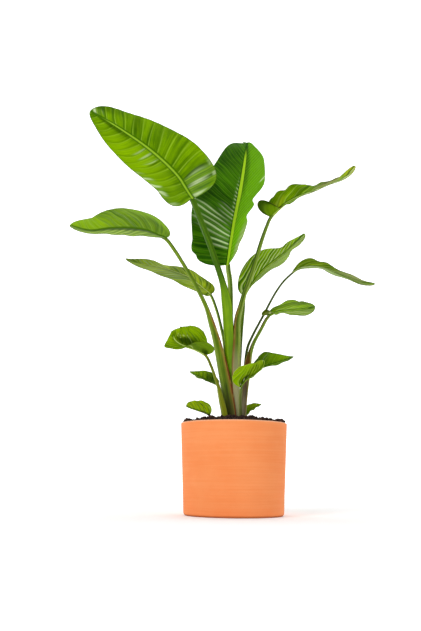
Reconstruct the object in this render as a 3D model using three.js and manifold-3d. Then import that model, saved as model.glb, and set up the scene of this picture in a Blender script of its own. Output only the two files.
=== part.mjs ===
// Potted bird of paradise: a terracotta cylinder planter, its soil, and fourteen leaves.
// Millimetres, +Z up, +X to the right and -Y towards the front.
// The origin is the centre of the pot's flat base, on the surface that it stands on.
import * as THREE from 'three';
import { mergeVertices } from 'three/addons/utils/BufferGeometryUtils.js';
import Module from 'manifold-3d';

const { lerp, degToRad } = THREE.MathUtils;
const wasm = await Module();
wasm.setup();

// Driving dimensions
const gap = 0.3; // clearance between pieces that touch

const pot = {
  height: 210,
  rimRadius: 125,
  footRadius: 116, // just above the rounded foot
  baseRadius: 110, // where the flat base ends
  footRise: 8, // height of the rounded foot
  wall: 11,
  floor: 14,
  lipRound: 3,
  sides: 48,
};

const soil = {
  edgeDrop: 7, // how far the soil lies below the rim at the wall
  crown: 225, // height of the soil at the stems
  clump: 2.2, // height of its low clumps
  rings: 6,
  sides: 36,
  clumpSpan: [7, 8, 19], // lengths that its clumps are spread over
  holeTop: 260, // clear above the soil
  holeClearance: 2,
  holeSides: 12,
  shootHole: { x: -4, y: 0, halfX: 19.5, halfY: 18.5 }, // the sheathed stalks stand in it together
};

const blade = {
  thickness: 0.9,
  ribWidth: 0.8, // the rib's width against the stalk's
  ribTaper: 0.75, // share of the rib's width that is lost by the tip
  baseShare: 1.25, // half width where the blade starts, against the rib's
  ribMargin: 0.06, // narrowest share of the half width that the rib takes up
  ribShare: 0.6, // the rib's depth against the stalk's
  mergeShare: 0.12, // share of the blade over which the stalk runs out into the rib
  across: [0, 0.48, 1], // shares of the half width outside the rib
  lobeShare: 0.22, // share of the blade's length that a lobe at its base takes up
};

const stalkWall = 2; // thickness of a hollow stalk's edges
const stalkWallShare = 0.45; // their thickest against the stalk's half width
const wideStalk = 6.4; // half width above which a stalk's section has more sides
const shoot = ['upper_left', 'upper_middle', 'middle_left', 'upper_right']; // stalks that sheath each other
const buriedFoot = 172; // height of the feet, inside the soil

const finishes = {
  leafDark: { color: 0x2f7414, roughness: 0.35 },
  leafBright: { color: 0x4c9a12, roughness: 0.35 },
  leafYoung: { color: 0x5aa51c, roughness: 0.35 },
  stalk: { color: 0x6fa02c, roughness: 0.45 },
  terracotta: { color: 0xff9a5c, roughness: 0.8 },
  soil: { color: 0x2b1c18, roughness: 0.95 },
};

// Every leaf grows on one axis from its foot in the soil to the tip of its blade.
// stalk: x, y, z, half width, depth, and how hollow the inner side is (1 deep, 0 flat)
// rib: x, y, z of the blade's midrib, following on from the last place of the stalk
// opens: which way the stalk's inner side looks, at even steps from the foot up
// face: which way the blade's upper side looks, at its base, its middle and its tip
// left, right: half widths, seen from the face with the tip up, at five places along the blade
// fold: degrees that each half rises towards the face, at even steps from the base to the tip
// curl: further degrees of bend from the rib to the margin, also from the base to the tip
// lobe: how far each half reaches back past the blade's base
// steps: sections of the blade
const leaves = {
  // the tallest leaf on the left, its face to the front
  upper_left: {
    stalk: [
      [-8, 0, buriedFoot, 7, 16, 0.78], [-8, 0, 225, 7, 16, 0.78], [-9.5, -1, 290, 7.2, 18, 0.78],
      [-11, -2, 345, 7, 21, 0.78], [-14, -4, 430, 7.4, 24, 0.8], [-19.5, -6, 505, 8.2, 24, 0.75],
      [-29, -9, 550, 7.2, 15, 0.3], [-46, -16, 600, 7, 13, 0.12], [-68, -24, 660, 7, 13, 0.1],
      [-90, -33, 714, 6.8, 12.5, 0.1], [-108, -41, 757, 6.5, 12, 0.1],
    ],
    rib: [[-127, -48, 791], [-145, -54, 816], [-205, -72, 869], [-288, -95, 921], [-358, -112, 957]],
    opens: [[1, -0.1, 0], [1, -0.1, 0], [1, -0.1, 0], [0.85, -0.5, 0.05]],
    face: [[0.5, -0.85, 0.1], [0.35, -0.93, 0.05], [0.3, -0.93, 0.1]],
    left: [70, 74, 74, 58, 26],
    right: [86, 102, 86, 58, 36],
    fold: { left: [8, 2, 0], right: [10, 4, 0] },
    curl: { left: [-10, -14, -8], right: [14, -10, -8] },
    lobe: { left: 30, right: 0 },
    steps: 18,
    finish: 'leafBright',
  },
  // the tall upright leaf behind it
  upper_middle: {
    stalk: [
      [-4, 0, buriedFoot, 3.6, 7.2, 0.12], [-4, 0, 225, 3.6, 7.2, 0.12], [-6, -1.5, 345, 4, 8, 0.12],
      [-7, -3.8, 430, 4.2, 8.4, 0.12], [-7.5, -6.5, 505, 4.5, 9, 0.12], [-10, 0, 560, 5, 10, 0.1],
      [-14, 18, 604, 5, 10, 0.1],
    ],
    rib: [[-8, 29, 655], [4, 42, 735], [17, 58, 810], [29, 78, 895], [37, 100, 968], [39, 110, 989]],
    opens: [[0, -1, 0]],
    face: [[-0.3, -0.95, 0.1], [-0.3, -0.95, 0.2], [-0.2, -0.95, 0.3]],
    left: [88, 108, 115, 98, 64],
    right: [34, 60, 84, 72, 26],
    fold: { left: [6, 4, 0], right: [52, 46, 36, 30, 22] },
    curl: { left: [-12, -8, -6], right: [-20, -8, -6] },
    lobe: { left: 0, right: 0 },
    steps: 18,
    finish: 'leafDark',
  },
  // the long leaf that reaches to the far left
  middle_left: {
    stalk: [
      [-7.5, 0, buriedFoot, 15, 25, 0.88], [-7.5, 0, 225, 15, 25, 0.88], [-14, -1, 290, 14.8, 26, 0.88],
      [-22.5, -3, 345, 14, 24, 0.85], [-39, -9, 408, 11, 16, 0.75], [-54, -14, 450, 8, 13, 0.6],
      [-67, -17, 483, 5.5, 10, 0.3], [-80, -19, 512, 4.5, 9, 0.12], [-105, -24, 558, 4.2, 8.5, 0.1],
      [-128, -28, 596, 4, 8, 0.1], [-149, -32, 628, 4, 8, 0.1], [-170, -36, 654, 4, 8, 0.1],
    ],
    rib: [
      [-194, -40, 667], [-218, -44, 675], [-255, -48, 679], [-303, -54, 676], [-355, -58, 670],
      [-403, -60, 684],
    ],
    opens: [[1, 0, 0], [1, 0, 0], [0.9, -0.3, 0.2]],
    face: [[0.6, -0.65, 0.6], [0, -0.75, 0.66], [0, -0.7, 0.7]],
    left: [34, 60, 64, 44, 18],
    right: [41, 65, 71, 51, 22],
    fold: { left: [25, 14, 20], right: [14, 8, 12] },
    curl: { left: [0, 0, 0], right: [-10, -10, -10] },
    lobe: { left: 0, right: 10 },
    steps: 16,
    finish: 'leafYoung',
  },
  // the narrow leaf below and behind it
  lower_left: {
    stalk: [
      [-11, 23, buriedFoot, 3.4, 6.8, 0.1], [-11, 23, 225, 3.4, 6.8, 0.1], [-14, 22, 290, 3.4, 6.8, 0.1],
      [-19, 20, 345, 3.4, 6.8, 0.1], [-25, 18, 410, 3.3, 6.6, 0.1], [-36, 20, 462, 3.2, 6.4, 0.1],
      [-46, 25, 498, 3.2, 6.4, 0.1], [-59, 32, 531, 3.2, 6.4, 0.1],
    ],
    rib: [
      [-83, 40, 557], [-115, 48, 583], [-149, 56, 599], [-185, 64, 612], [-228, 72, 622],
      [-282, 82, 641],
    ],
    opens: [[1, -0.2, 0]],
    face: [[0.3, -0.7, 0.7], [0, -0.66, 0.75], [0, -0.66, 0.75]],
    left: [22, 42, 38, 24, 10],
    right: [32, 38, 35, 38, 12],
    fold: { left: [4, 4, 4], right: [8, 2, 4] },
    curl: { left: [-10, -10, -10], right: [-10, -10, -10] },
    lobe: { left: 0, right: 8 },
    steps: 14,
    finish: 'leafYoung',
  },
  // the long pointed leaf on the right
  upper_right: {
    stalk: [
      [5.5, 0, buriedFoot, 10.5, 15, 0.8], [5.5, 0, 225, 10.5, 15, 0.8], [5, -1.5, 290, 10.8, 18, 0.8],
      [5, -2, 345, 11, 21, 0.8], [7, -3.5, 408, 10.8, 18.5, 0.78], [9.5, -6, 462, 8.8, 16, 0.7],
      [17, -9, 495, 6, 12, 0.3], [24, -12, 520, 5.5, 11, 0.12], [38, -16, 560, 5.2, 10.5, 0.1],
      [53, -22, 607, 4.8, 9.5, 0.1], [67, -28, 655, 4.2, 8.5, 0.1], [80, -34, 692, 3.8, 7.5, 0.1],
      [89, -38, 712, 3.6, 7.2, 0.1],
    ],
    rib: [
      [119, -46, 742], [153, -52, 762], [190, -58, 776], [230, -64, 791], [265, -69, 806],
      [292, -74, 832],
    ],
    opens: [[-1, 0, 0], [-1, 0, 0], [-0.8, -0.4, 0.3]],
    face: [[-0.4, -0.65, 0.65], [0, -0.54, 0.84], [0, -0.57, 0.82]],
    left: [26, 50, 37, 24, 14],
    right: [48, 46, 40, 28, 14],
    fold: { left: [24, 26, 14, 14, 15], right: [86, 30, 12, 12, 12] },
    curl: { left: [0, 0, 0], right: [0, 0, 0] },
    lobe: { left: 0, right: 26 },
    steps: 16,
    finish: 'leafBright',
  },
  // the ribbed leaf behind its stalk
  middle_right: {
    stalk: [
      [9, 21, buriedFoot, 3.5, 7, 0.1], [9, 21, 225, 3.5, 7, 0.1], [11, 22, 290, 3.6, 7, 0.1],
      [15, 22, 354, 3.8, 7.5, 0.1], [19, 23, 430, 4, 8, 0.1], [24, 25, 490, 4, 8, 0.1],
      [28, 28, 528, 4, 8, 0.1],
    ],
    rib: [[54, 38, 573], [76, 44, 602], [102, 50, 626], [126, 56, 648], [150, 62, 672], [186, 72, 712]],
    opens: [[-0.7, -0.7, 0]],
    face: [[-0.3, -0.9, 0.3], [-0.1, -0.9, 0.4], [-0.1, -0.9, 0.4]],
    left: [26, 42, 42, 13, 8],
    right: [26, 40, 44, 24, 15],
    fold: { left: [10, 10, 0], right: [65, 52, 14] },
    curl: { left: [0, 0, 0], right: [0, 0, 0] },
    lobe: { left: 0, right: 0 },
    steps: 14,
    finish: 'leafYoung',
  },
  // the leaf that arches to the far right
  far_right: {
    stalk: [
      [24, 4, buriedFoot, 3.2, 6, 0.1], [24, 4, 225, 3.2, 6, 0.1], [24.5, 5, 290, 3.2, 6, 0.1],
      [28, 7, 354, 3.2, 6, 0.1], [34, 9, 395, 3, 6, 0.1], [46, 12, 424, 2.8, 5.5, 0.1],
      [74, 17, 478, 2.6, 5, 0.1], [103, 23, 534, 2.4, 4.6, 0.1], [126, 28, 568, 2.3, 4.4, 0.1],
      [149, 32, 591, 2.3, 4.4, 0.1],
    ],
    rib: [
      [168, 34, 605], [192, 36, 611], [226, 39, 609], [262, 41, 597], [300, 44, 583],
      [330, 46, 573], [360, 48, 571],
    ],
    opens: [[-1, 0, 0]],
    face: [[-0.3, -0.6, 0.7], [0, -0.57, 0.82], [0, -0.57, 0.82]],
    left: [12, 34, 26, 22, 9],
    right: [16, 36, 30, 22, 8],
    fold: { left: [20, 20, 20], right: [20, 20, 14] },
    curl: { left: [0, 0, 0], right: [0, 0, 0] },
    lobe: { left: 0, right: 0 },
    steps: 14,
    finish: 'leafYoung',
  },
  // the short leaf below it, in front
  lower_right: {
    stalk: [
      [24.5, -7, buriedFoot, 3.6, 7, 0.1], [24.5, -7, 225, 3.6, 7, 0.1], [31, -9, 290, 3.6, 7, 0.1],
      [38, -11, 345, 3.5, 7, 0.1], [44, -14, 380, 3.5, 7, 0.1], [52, -18, 405, 3.4, 7, 0.1],
      [65, -23, 434, 3.2, 6.5, 0.1], [79, -28, 466, 3, 6, 0.1],
    ],
    rib: [[102, -34, 481], [128, -39, 486], [152, -44, 486], [174, -49, 486], [191, -52, 484]],
    opens: [[-1, 0, 0]],
    face: [[-0.3, -0.6, 0.7], [0, -0.77, 0.64], [0, -0.77, 0.64]],
    left: [10, 22, 33, 26, 14],
    right: [9, 16, 26, 30, 16],
    fold: { left: [5, 5, 0], right: [10, 5, 0] },
    curl: { left: [0, -10, -10], right: [0, -10, -10] },
    lobe: { left: 12, right: 0 },
    steps: 12,
    finish: 'leafBright',
  },
  // the cupped leaf low on the left
  low_left: {
    stalk: [
      [-22, -21, buriedFoot, 6.5, 6, 0.15], [-22, -21, 225, 6.5, 6, 0.15], [-30, -22, 262, 6, 6, 0.15],
      [-37, -22, 294, 4.5, 6, 0.12], [-45, -25, 317, 3.5, 6, 0.1], [-56, -32, 342, 3, 6, 0.1],
      [-68, -41, 364, 3, 6, 0.1],
    ],
    rib: [[-91, -50, 376], [-115, -58, 386], [-134, -64, 398], [-149, -68, 418]],
    opens: [[0.3, 0.9, 0], [0.6, 0.3, 0.5]],
    face: [[0.4, -0.2, 0.85], [0.35, -0.35, 0.85], [0.7, -0.5, 0.4]],
    left: [30, 42, 44, 46, 34],
    right: [48, 58, 60, 50, 30],
    fold: { left: [60, 50, 25, -25, -40], right: [65, 60, 45] },
    curl: { left: [0, 0, 0], right: [-20, -20, -20] },
    lobe: { left: 24, right: 16 },
    steps: 12,
    finish: 'leafBright',
  },
  // the small leaf behind its stalk
  small_left: {
    stalk: [
      [-27, -6, buriedFoot, 2.8, 5.5, 0.1], [-27, -6, 225, 2.8, 5.5, 0.1], [-31, -3, 262, 2.8, 5.5, 0.1],
      [-35, 0, 284, 2.6, 5.2, 0.1], [-41, 5, 301, 2.4, 4.8, 0.1],
    ],
    rib: [[-60, 14, 311], [-83, 22, 323], [-108, 30, 337]],
    opens: [[1, 0, 0]],
    face: [[0.3, -0.5, 0.8], [0, -0.56, 0.83], [0, -0.56, 0.83]],
    left: [12, 22, 24, 15, 5],
    right: [14, 24, 26, 16, 5],
    fold: { left: [26, 26, 20], right: [26, 26, 20] },
    curl: { left: [0, 0, 0], right: [0, 0, 0] },
    lobe: { left: 0, right: 0 },
    steps: 9,
    finish: 'leafDark',
  },
  // the small leaf in front on the right
  small_front: {
    stalk: [
      [16, -19, buriedFoot, 2.6, 5, 0.1], [16, -19, 225, 2.6, 5, 0.1], [15, -25, 245, 2.6, 5, 0.1],
      [14, -31, 267, 2.5, 5, 0.1], [15, -38, 289, 2.5, 5, 0.1],
    ],
    rib: [[24, -44, 303], [43, -53, 317], [62, -62, 333], [69, -66, 350]],
    opens: [[-0.3, -1, 0]],
    face: [[-0.5, -0.85, 0.2], [-0.5, -0.85, 0.1], [-0.5, -0.85, 0.1]],
    left: [38, 45, 36, 28, 17],
    right: [16, 24, 22, 16, 8],
    fold: { left: [22, 20, 10], right: [60, 60, 50] },
    curl: { left: [0, 0, 0], right: [0, 0, 0] },
    lobe: { left: 6, right: 0 },
    steps: 12,
    finish: 'leafYoung',
  },
  // the small leaf behind it
  small_right: {
    stalk: [
      [22, 13, buriedFoot, 2.8, 5.5, 0.1], [22, 13, 225, 2.8, 5.5, 0.1], [26, 14, 270, 2.7, 5.4, 0.1],
      [33, 18, 313, 2.6, 5.2, 0.1], [42, 22, 339, 2.5, 5, 0.1],
    ],
    rib: [[73, 26, 349], [104, 30, 359], [127, 34, 368], [147, 38, 381]],
    opens: [[-1, 0, 0]],
    face: [[-0.3, -0.55, 0.8], [0, -0.57, 0.82], [0, -0.57, 0.82]],
    left: [24, 44, 44, 28, 10],
    right: [20, 38, 38, 26, 10],
    fold: { left: [25, 25, 20], right: [25, 25, 20] },
    curl: { left: [0, 0, 0], right: [0, 0, 0] },
    lobe: { left: 0, right: 0 },
    steps: 12,
    finish: 'leafDark',
  },
  // the two seedling leaves at the soil
  seedling_left: {
    stalk: [
      [-58, -41, 190, 2.4, 4.8, 0.1], [-58, -41, 214, 2.4, 4.8, 0.1], [-59, -42, 225, 2.2, 4.4, 0.1],
    ],
    rib: [[-72, -47, 231], [-88, -54, 235], [-102, -60, 239], [-112, -64, 243]],
    opens: [[1, 0, 0.2]],
    face: [[0.2, -0.5, 0.8], [0, -0.54, 0.84], [0, -0.54, 0.84]],
    left: [14, 22, 20, 14, 8],
    right: [23, 32, 29, 22, 13],
    fold: { left: [27, 27, 20], right: [27, 27, 20] },
    curl: { left: [0, 0, 0], right: [0, 0, 0] },
    lobe: { left: 0, right: 4 },
    steps: 9,
    finish: 'leafYoung',
  },
  seedling_right: {
    stalk: [
      [26, 24, 190, 1.8, 3.6, 0.1], [26, 24, 214, 1.8, 3.6, 0.1], [27, 25, 227, 1.8, 3.6, 0.1],
    ],
    rib: [[40, 28, 243], [54, 31, 252], [68, 34, 259]],
    opens: [[-1, 0, 0]],
    face: [[-0.3, -0.5, 0.8], [0, -0.54, 0.84], [0, -0.54, 0.84]],
    left: [6, 10, 12, 10, 4],
    right: [5, 8, 10, 8, 4],
    fold: { left: [28, 28, 20], right: [28, 28, 20] },
    curl: { left: [0, 0, 0], right: [0, 0, 0] },
    lobe: { left: 0, right: 0 },
    steps: 8,
    finish: 'leafYoung',
  },
};

const widthPlaces = 6; // a blade's half widths stand at even angles round an ellipse
const lengthSteps = 20; // pieces of each span of an axis when its length is measured
const straight = 1e-4; // least bend, in radians, that is worked out as an arc

// Catmull-Rom value through a row of numbers, at a place from 0 to its last index
function smoothValue(row, place) {
  const i = Math.min(Math.floor(place), row.length - 2);
  const f = place - i;
  const a = row[i];
  const b = row[i + 1];
  const before = i > 0 ? row[i - 1] : 2 * a - b;
  const after = i + 2 < row.length ? row[i + 2] : 2 * b - a;
  const slopeA = (b - before) / 2;
  const slopeB = (after - a) / 2;
  const g = f * f;
  const h = g * f;
  return (2 * h - 3 * g + 1) * a + (h - 2 * g + f) * slopeA + (3 * g - 2 * h) * b + (h - g) * slopeB;
}

function mixValue(row, share) {
  const place = share * (row.length - 1);
  const i = Math.min(Math.floor(place), row.length - 2);
  return lerp(row[i], row[i + 1], place - i);
}

// Half width of a blade at a share of its length: round at the base, drawn out at the tip
function halfWidth(places, share) {
  const turn = Math.acos(1 - 2 * Math.min(share, 1)) / Math.PI;
  return Math.max(smoothValue([0, ...places, 0], turn * widthPlaces), 0);
}

// A place on a leaf's axis with its direction, the way that its face looks and its rightward side
function frameAt(point, along, faces, facePlace) {
  const mixed = [0, 1, 2].map((axis) => mixValue(faces.map((face) => face[axis]), facePlace));
  const look = new THREE.Vector3(...mixed);
  look.addScaledVector(along, -look.dot(along)).normalize();
  const side = new THREE.Vector3().crossVectors(along, look);
  return { point, along, look, side };
}

// A closed body from rings of equally many points, its first half row above its second;
// strips between the two rows close the ends
function loft(rings) {
  const count = rings[0].length;
  const positions = rings.flat().flatMap((p) => [p.x, p.y, p.z]);
  const index = [];
  for (let i = 0; i + 1 < rings.length; i += 1) {
    for (let j = 0; j < count; j += 1) {
      const a = i * count + j;
      const b = i * count + ((j + 1) % count);
      const mirrored = j >= count / 2;
      if (mirrored) index.push(b, a, a + count, b + count, b, a + count);
      else index.push(b, a, b + count, b + count, a, a + count);
    }
  }
  const last = (rings.length - 1) * count;
  for (let j = 1; j + 1 < count - j; j += 1) {
    const k = count - j;
    index.push(j - 1, j, k, k, j, k - 1);
    index.push(last + j, last + j - 1, last + k, last + k - 1, last + j, last + k);
  }
  const geometry = new THREE.BufferGeometry();
  geometry.setAttribute('position', new THREE.Float32BufferAttribute(positions, 3));
  geometry.setIndex(index);
  return geometry;
}

// Across a stalk: a half ellipse with a hollow inner side, from its right edge to its left and back
function stalkSection(frame, half, depth, hollow, arcSteps) {
  const inner = half - Math.min(stalkWall, half * stalkWallShare);
  const ring = [];
  const place = (across, up) => frame.point.clone()
    .addScaledVector(frame.side, across)
    .addScaledVector(frame.look, depth / 2 - up);
  for (let i = 0; i <= arcSteps; i += 1) {
    const turn = (Math.PI * i) / arcSteps;
    ring.push(place(inner * Math.cos(turn), depth * hollow * Math.sin(turn)));
  }
  for (let i = arcSteps; i >= 0; i -= 1) {
    const turn = (Math.PI * i) / arcSteps;
    ring.push(place(half * Math.cos(turn), depth * Math.sin(turn)));
  }
  return ring;
}

// Where a half blade's section lies, at a share of its half width: an arc that starts at the fold
function arcPlace(width, share, fold, curl) {
  const start = degToRad(fold);
  const bend = Math.abs(degToRad(curl)) < straight ? straight : degToRad(curl);
  const end = start + bend * share;
  return {
    across: (width * (Math.sin(end) - Math.sin(start))) / bend,
    rise: (width * (Math.cos(start) - Math.cos(end))) / bend,
    angle: end,
  };
}

// Across a blade: its upper side from right to left, then its under side back, with the rib below
function bladeSection(frame, leaf, share, stalkEnd) {
  const ribHalf = stalkEnd.half * blade.ribWidth * (1 - blade.ribTaper * share);
  const merge = Math.max(1 - share / blade.mergeShare, 0) ** 2;
  const slender = (1 - share) ** 1.5 * blade.ribShare;
  const ribDepth = (stalkEnd.depth - blade.thickness) * lerp(slender, 1, merge);
  frame.point.addScaledVector(frame.look, (stalkEnd.depth / 2) * merge);
  const upper = [];
  const lower = [];
  for (const [name, sign] of [['right', 1], ['left', -1]]) {
    const least = ribHalf * blade.baseShare;
    const width = Math.max(halfWidth(leaf[name], share), least);
    const fold = mixValue(leaf.fold[name], share);
    const curl = mixValue(leaf.curl[name], share);
    const opened = Math.min((width - least) / (leaf[name][0] - least), 1);
    const back = leaf.lobe[name] * opened * Math.max(1 - share / blade.lobeShare, 0) ** 2;
    const row = blade.across.map((step, i) => {
      const rib = Math.max(ribHalf / width, blade.ribMargin);
      const reach = i === 0 ? rib : rib + (1 - rib) * step;
      const arc = arcPlace(width, reach, fold, curl);
      const middle = frame.point.clone()
        .addScaledVector(frame.side, sign * arc.across)
        .addScaledVector(frame.look, arc.rise)
        .addScaledVector(frame.along, -back * step ** 2);
      const out = frame.look.clone().multiplyScalar(Math.cos(arc.angle))
        .addScaledVector(frame.side, -sign * Math.sin(arc.angle));
      return {
        up: middle.clone().addScaledVector(out, blade.thickness / 2),
        down: middle.clone().addScaledVector(out, -blade.thickness / 2),
      };
    });
    if (sign > 0) {
      upper.push(...row.map((p) => p.up).reverse());
      lower.push(...row.map((p) => p.down));
    } else {
      upper.push(frame.point.clone().addScaledVector(frame.look, blade.thickness / 2));
      upper.push(...row.map((p) => p.up));
      lower.unshift(frame.point.clone().addScaledVector(frame.look, -blade.thickness / 2 - ribDepth));
      lower.unshift(...row.map((p) => p.down).reverse());
    }
  }
  return [...upper, ...lower];
}

function makeLeaf(leaf) {
  const places = [...leaf.stalk.map((row) => row.slice(0, 3)), ...leaf.rib];
  const points = places.map((place) => new THREE.Vector3(...place));
  const curve = new THREE.CatmullRomCurve3(points, false, 'centripetal');
  const joint = (leaf.stalk.length - 1) / (places.length - 1);
  curve.arcLengthDivisions = (places.length - 1) * lengthSteps;
  const lengths = curve.getLengths();
  const stalkShare = lengths[(leaf.stalk.length - 1) * lengthSteps] / lengths.at(-1);
  const wide = Math.max(...leaf.stalk.map((row) => row[3]));
  const arcSteps = wide > wideStalk ? 5 : 3;

  const opens = [...leaf.opens, leaf.face[0]];
  const stalkRings = [];
  const stalkSteps = (leaf.stalk.length - 1) * 2;
  for (let i = 0; i <= stalkSteps; i += 1) {
    const place = i / 2;
    const at = (i / stalkSteps) * joint;
    const frame = frameAt(curve.getPoint(at), curve.getTangent(at), opens, i / stalkSteps);
    const sizes = [3, 4, 5].map((column) => smoothValue(leaf.stalk.map((row) => row[column]), place));
    const [half, depth, hollow] = sizes;
    stalkRings.push(stalkSection(frame, half, depth, hollow, arcSteps));
  }

  const stalkEnd = { half: leaf.stalk.at(-1)[3], depth: leaf.stalk.at(-1)[4] };
  const bladeRings = [];
  for (let i = 0; i <= leaf.steps; i += 1) {
    const even = i / leaf.steps;
    const share = (even + (1 - Math.cos(Math.PI * even)) / 2) / 2; // closer steps at both ends
    const at = stalkShare + (1 - stalkShare) * share;
    const frame = frameAt(curve.getPointAt(at), curve.getTangentAt(at), leaf.face, share);
    if (i === 0) frame.point.addScaledVector(frame.along, gap);
    bladeRings.push(bladeSection(frame, leaf, share, stalkEnd));
  }
  return { blade: loft(bladeRings), stalk: loft(stalkRings) };
}

function asSolid(geometry) {
  const bare = geometry.clone();
  bare.deleteAttribute('normal');
  bare.deleteAttribute('uv');
  const merged = mergeVertices(bare, 1e-4);
  return new wasm.Manifold(new wasm.Mesh({
    numProp: 3,
    vertProperties: new Float32Array(merged.attributes.position.array),
    triVerts: new Uint32Array(merged.index.array),
  }));
}

function asGeometry(solid) {
  const mesh = solid.getMesh();
  const geometry = new THREE.BufferGeometry();
  geometry.setAttribute('position', new THREE.BufferAttribute(new Float32Array(mesh.vertProperties), 3));
  geometry.setIndex(new THREE.BufferAttribute(new Uint32Array(mesh.triVerts), 1));
  return geometry;
}

// A closed profile of radius and height, turned round the pot's axis
function turned(profile, sides) {
  const points = profile.map(([radius, height]) => new THREE.Vector2(radius, height));
  return new THREE.LatheGeometry(points, sides).rotateX(Math.PI / 2);
}

function roundCorner(centre, radius, from, to, steps) {
  return Array.from({ length: steps + 1 }, (_, i) => {
    const turn = degToRad(lerp(from, to, i / steps));
    return [centre[0] + radius[0] * Math.cos(turn), centre[1] + radius[1] * Math.sin(turn)];
  });
}

function makePot() {
  const innerRim = pot.rimRadius - pot.wall;
  const innerFoot = pot.footRadius - pot.wall;
  const footRound = [pot.footRadius - pot.baseRadius, pot.footRise];
  const lip = [pot.lipRound, pot.lipRound];
  const lipLevel = pot.height - pot.lipRound;
  return turned([
    [0, 0],
    ...roundCorner([pot.baseRadius, pot.footRise], footRound, -90, 0, 3),
    ...roundCorner([pot.rimRadius - pot.lipRound, lipLevel], lip, 0, 90, 3),
    ...roundCorner([innerRim + pot.lipRound, lipLevel], lip, 90, 180, 3),
    [innerFoot, pot.floor],
    [0, pot.floor],
  ], pot.sides);
}

function soilHeight(x, y, radius) {
  const share = Math.hypot(x, y) / radius;
  const edge = pot.height - soil.edgeDrop;
  const mound = edge + (soil.crown - edge) * (1 - share ** 2.5);
  const [spanX, spanY, drift] = soil.clumpSpan;
  return mound + soil.clump * Math.sin(x / spanX) * Math.cos(y / spanY + x / drift) * (1 - share ** 6);
}

function footHole(x, y, halfX, halfY, foot) {
  const outline = new THREE.Shape().absellipse(x, y, halfX, halfY, 0, 2 * Math.PI);
  const floor = foot - gap;
  const settings = { depth: soil.holeTop - floor, bevelEnabled: false, curveSegments: soil.holeSides };
  return asSolid(new THREE.ExtrudeGeometry(outline, settings).translate(0, 0, floor));
}

function makeSoil() {
  const slope = (pot.rimRadius - pot.footRadius) / (pot.height - pot.footRise);
  const innerAt = (height) => pot.footRadius - pot.wall - gap + slope * (height - pot.footRise);
  const edge = pot.height - soil.edgeDrop;
  const topRadius = innerAt(edge) - gap;
  const bottom = pot.floor + gap;
  const rings = [[0, bottom], [innerAt(bottom) - gap, bottom], [topRadius, edge]];
  for (let i = soil.rings - 1; i >= 0; i -= 1) rings.push([(topRadius * i) / soil.rings, edge]);
  const shell = turned(rings, soil.sides).deleteAttribute('normal').deleteAttribute('uv');
  const body = mergeVertices(shell, 1e-4);
  const spots = body.attributes.position;
  for (let i = 0; i < spots.count; i += 1) {
    if (spots.getZ(i) > edge - gap) spots.setZ(i, soilHeight(spots.getX(i), spots.getY(i), topRadius));
  }
  const hole = soil.shootHole;
  const holes = [footHole(hole.x, hole.y, hole.halfX, hole.halfY, buriedFoot)];
  for (const [name, leaf] of Object.entries(leaves)) {
    if (shoot.includes(name)) continue;
    const [x, y, foot, half, depth] = leaf.stalk[0];
    const reach = Math.max(half, depth / 2) + soil.holeClearance;
    holes.push(footHole(x, y, reach, reach, foot));
  }
  return asGeometry(holes.reduce((rest, cutter) => rest.subtract(cutter), asSolid(body)));
}

function piece(name, geometry, finish) {
  const material = new THREE.MeshStandardMaterial({ ...finishes[finish], metalness: 0 });
  const mesh = new THREE.Mesh(geometry, material);
  mesh.name = name;
  return mesh;
}

const plant = new THREE.Group();
plant.add(piece('pot', makePot(), 'terracotta'));
plant.add(piece('soil', makeSoil(), 'soil'));
for (const [name, leaf] of Object.entries(leaves)) {
  const made = makeLeaf(leaf);
  plant.add(piece(`blade_${name}`, made.blade, leaf.finish));
  plant.add(piece(`stalk_${name}`, made.stalk, 'stalk'));
}

export default plant;
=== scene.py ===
# A bird of paradise in a terracotta cylinder: fourteen leaves, soil and pot.
# Sizes in the dictionaries are millimetres; the meshes are in metres.
import math
import bpy
import numpy as np
from mathutils import Matrix, Vector


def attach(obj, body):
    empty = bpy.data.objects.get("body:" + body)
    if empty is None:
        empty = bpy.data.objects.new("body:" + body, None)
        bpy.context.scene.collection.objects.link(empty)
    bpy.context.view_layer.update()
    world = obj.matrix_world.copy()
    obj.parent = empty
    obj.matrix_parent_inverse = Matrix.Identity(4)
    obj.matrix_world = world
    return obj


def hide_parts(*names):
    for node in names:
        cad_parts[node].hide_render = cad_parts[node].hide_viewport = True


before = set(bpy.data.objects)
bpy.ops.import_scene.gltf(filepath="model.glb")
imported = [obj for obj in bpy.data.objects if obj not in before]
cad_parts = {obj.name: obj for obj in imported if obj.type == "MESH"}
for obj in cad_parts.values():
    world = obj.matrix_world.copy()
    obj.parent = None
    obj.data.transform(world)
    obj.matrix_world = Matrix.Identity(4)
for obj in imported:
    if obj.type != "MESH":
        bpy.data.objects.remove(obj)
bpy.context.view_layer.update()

mm = 0.001
tiny = 1e-12  # keeps a vector without length from a division by nought
slopeStep = 1e-4  # share of a curve over which its direction is taken
bumpStrength = 0.8


# 0 below low, 1 above high, and an S between them
def smoothStep(low, high, value):
    t = np.clip((value - low) / (high - low), 0, 1)
    return t * t * (3 - 2 * t)


# 1 at a centre, falling off as a bell over a size
def bell(value, centre, size):
    return np.exp(-((value - centre) / size) ** 2)


# cubic from a to b that leaves a at one slope and reaches b at another
def cubic(a, b, slopeA, slopeB, f):
    g = f * f
    h = g * f
    return (2 * h - 3 * g + 1) * a + (h - 2 * g + f) * slopeA + (3 * g - 2 * h) * b + (h - g) * slopeB


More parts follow.
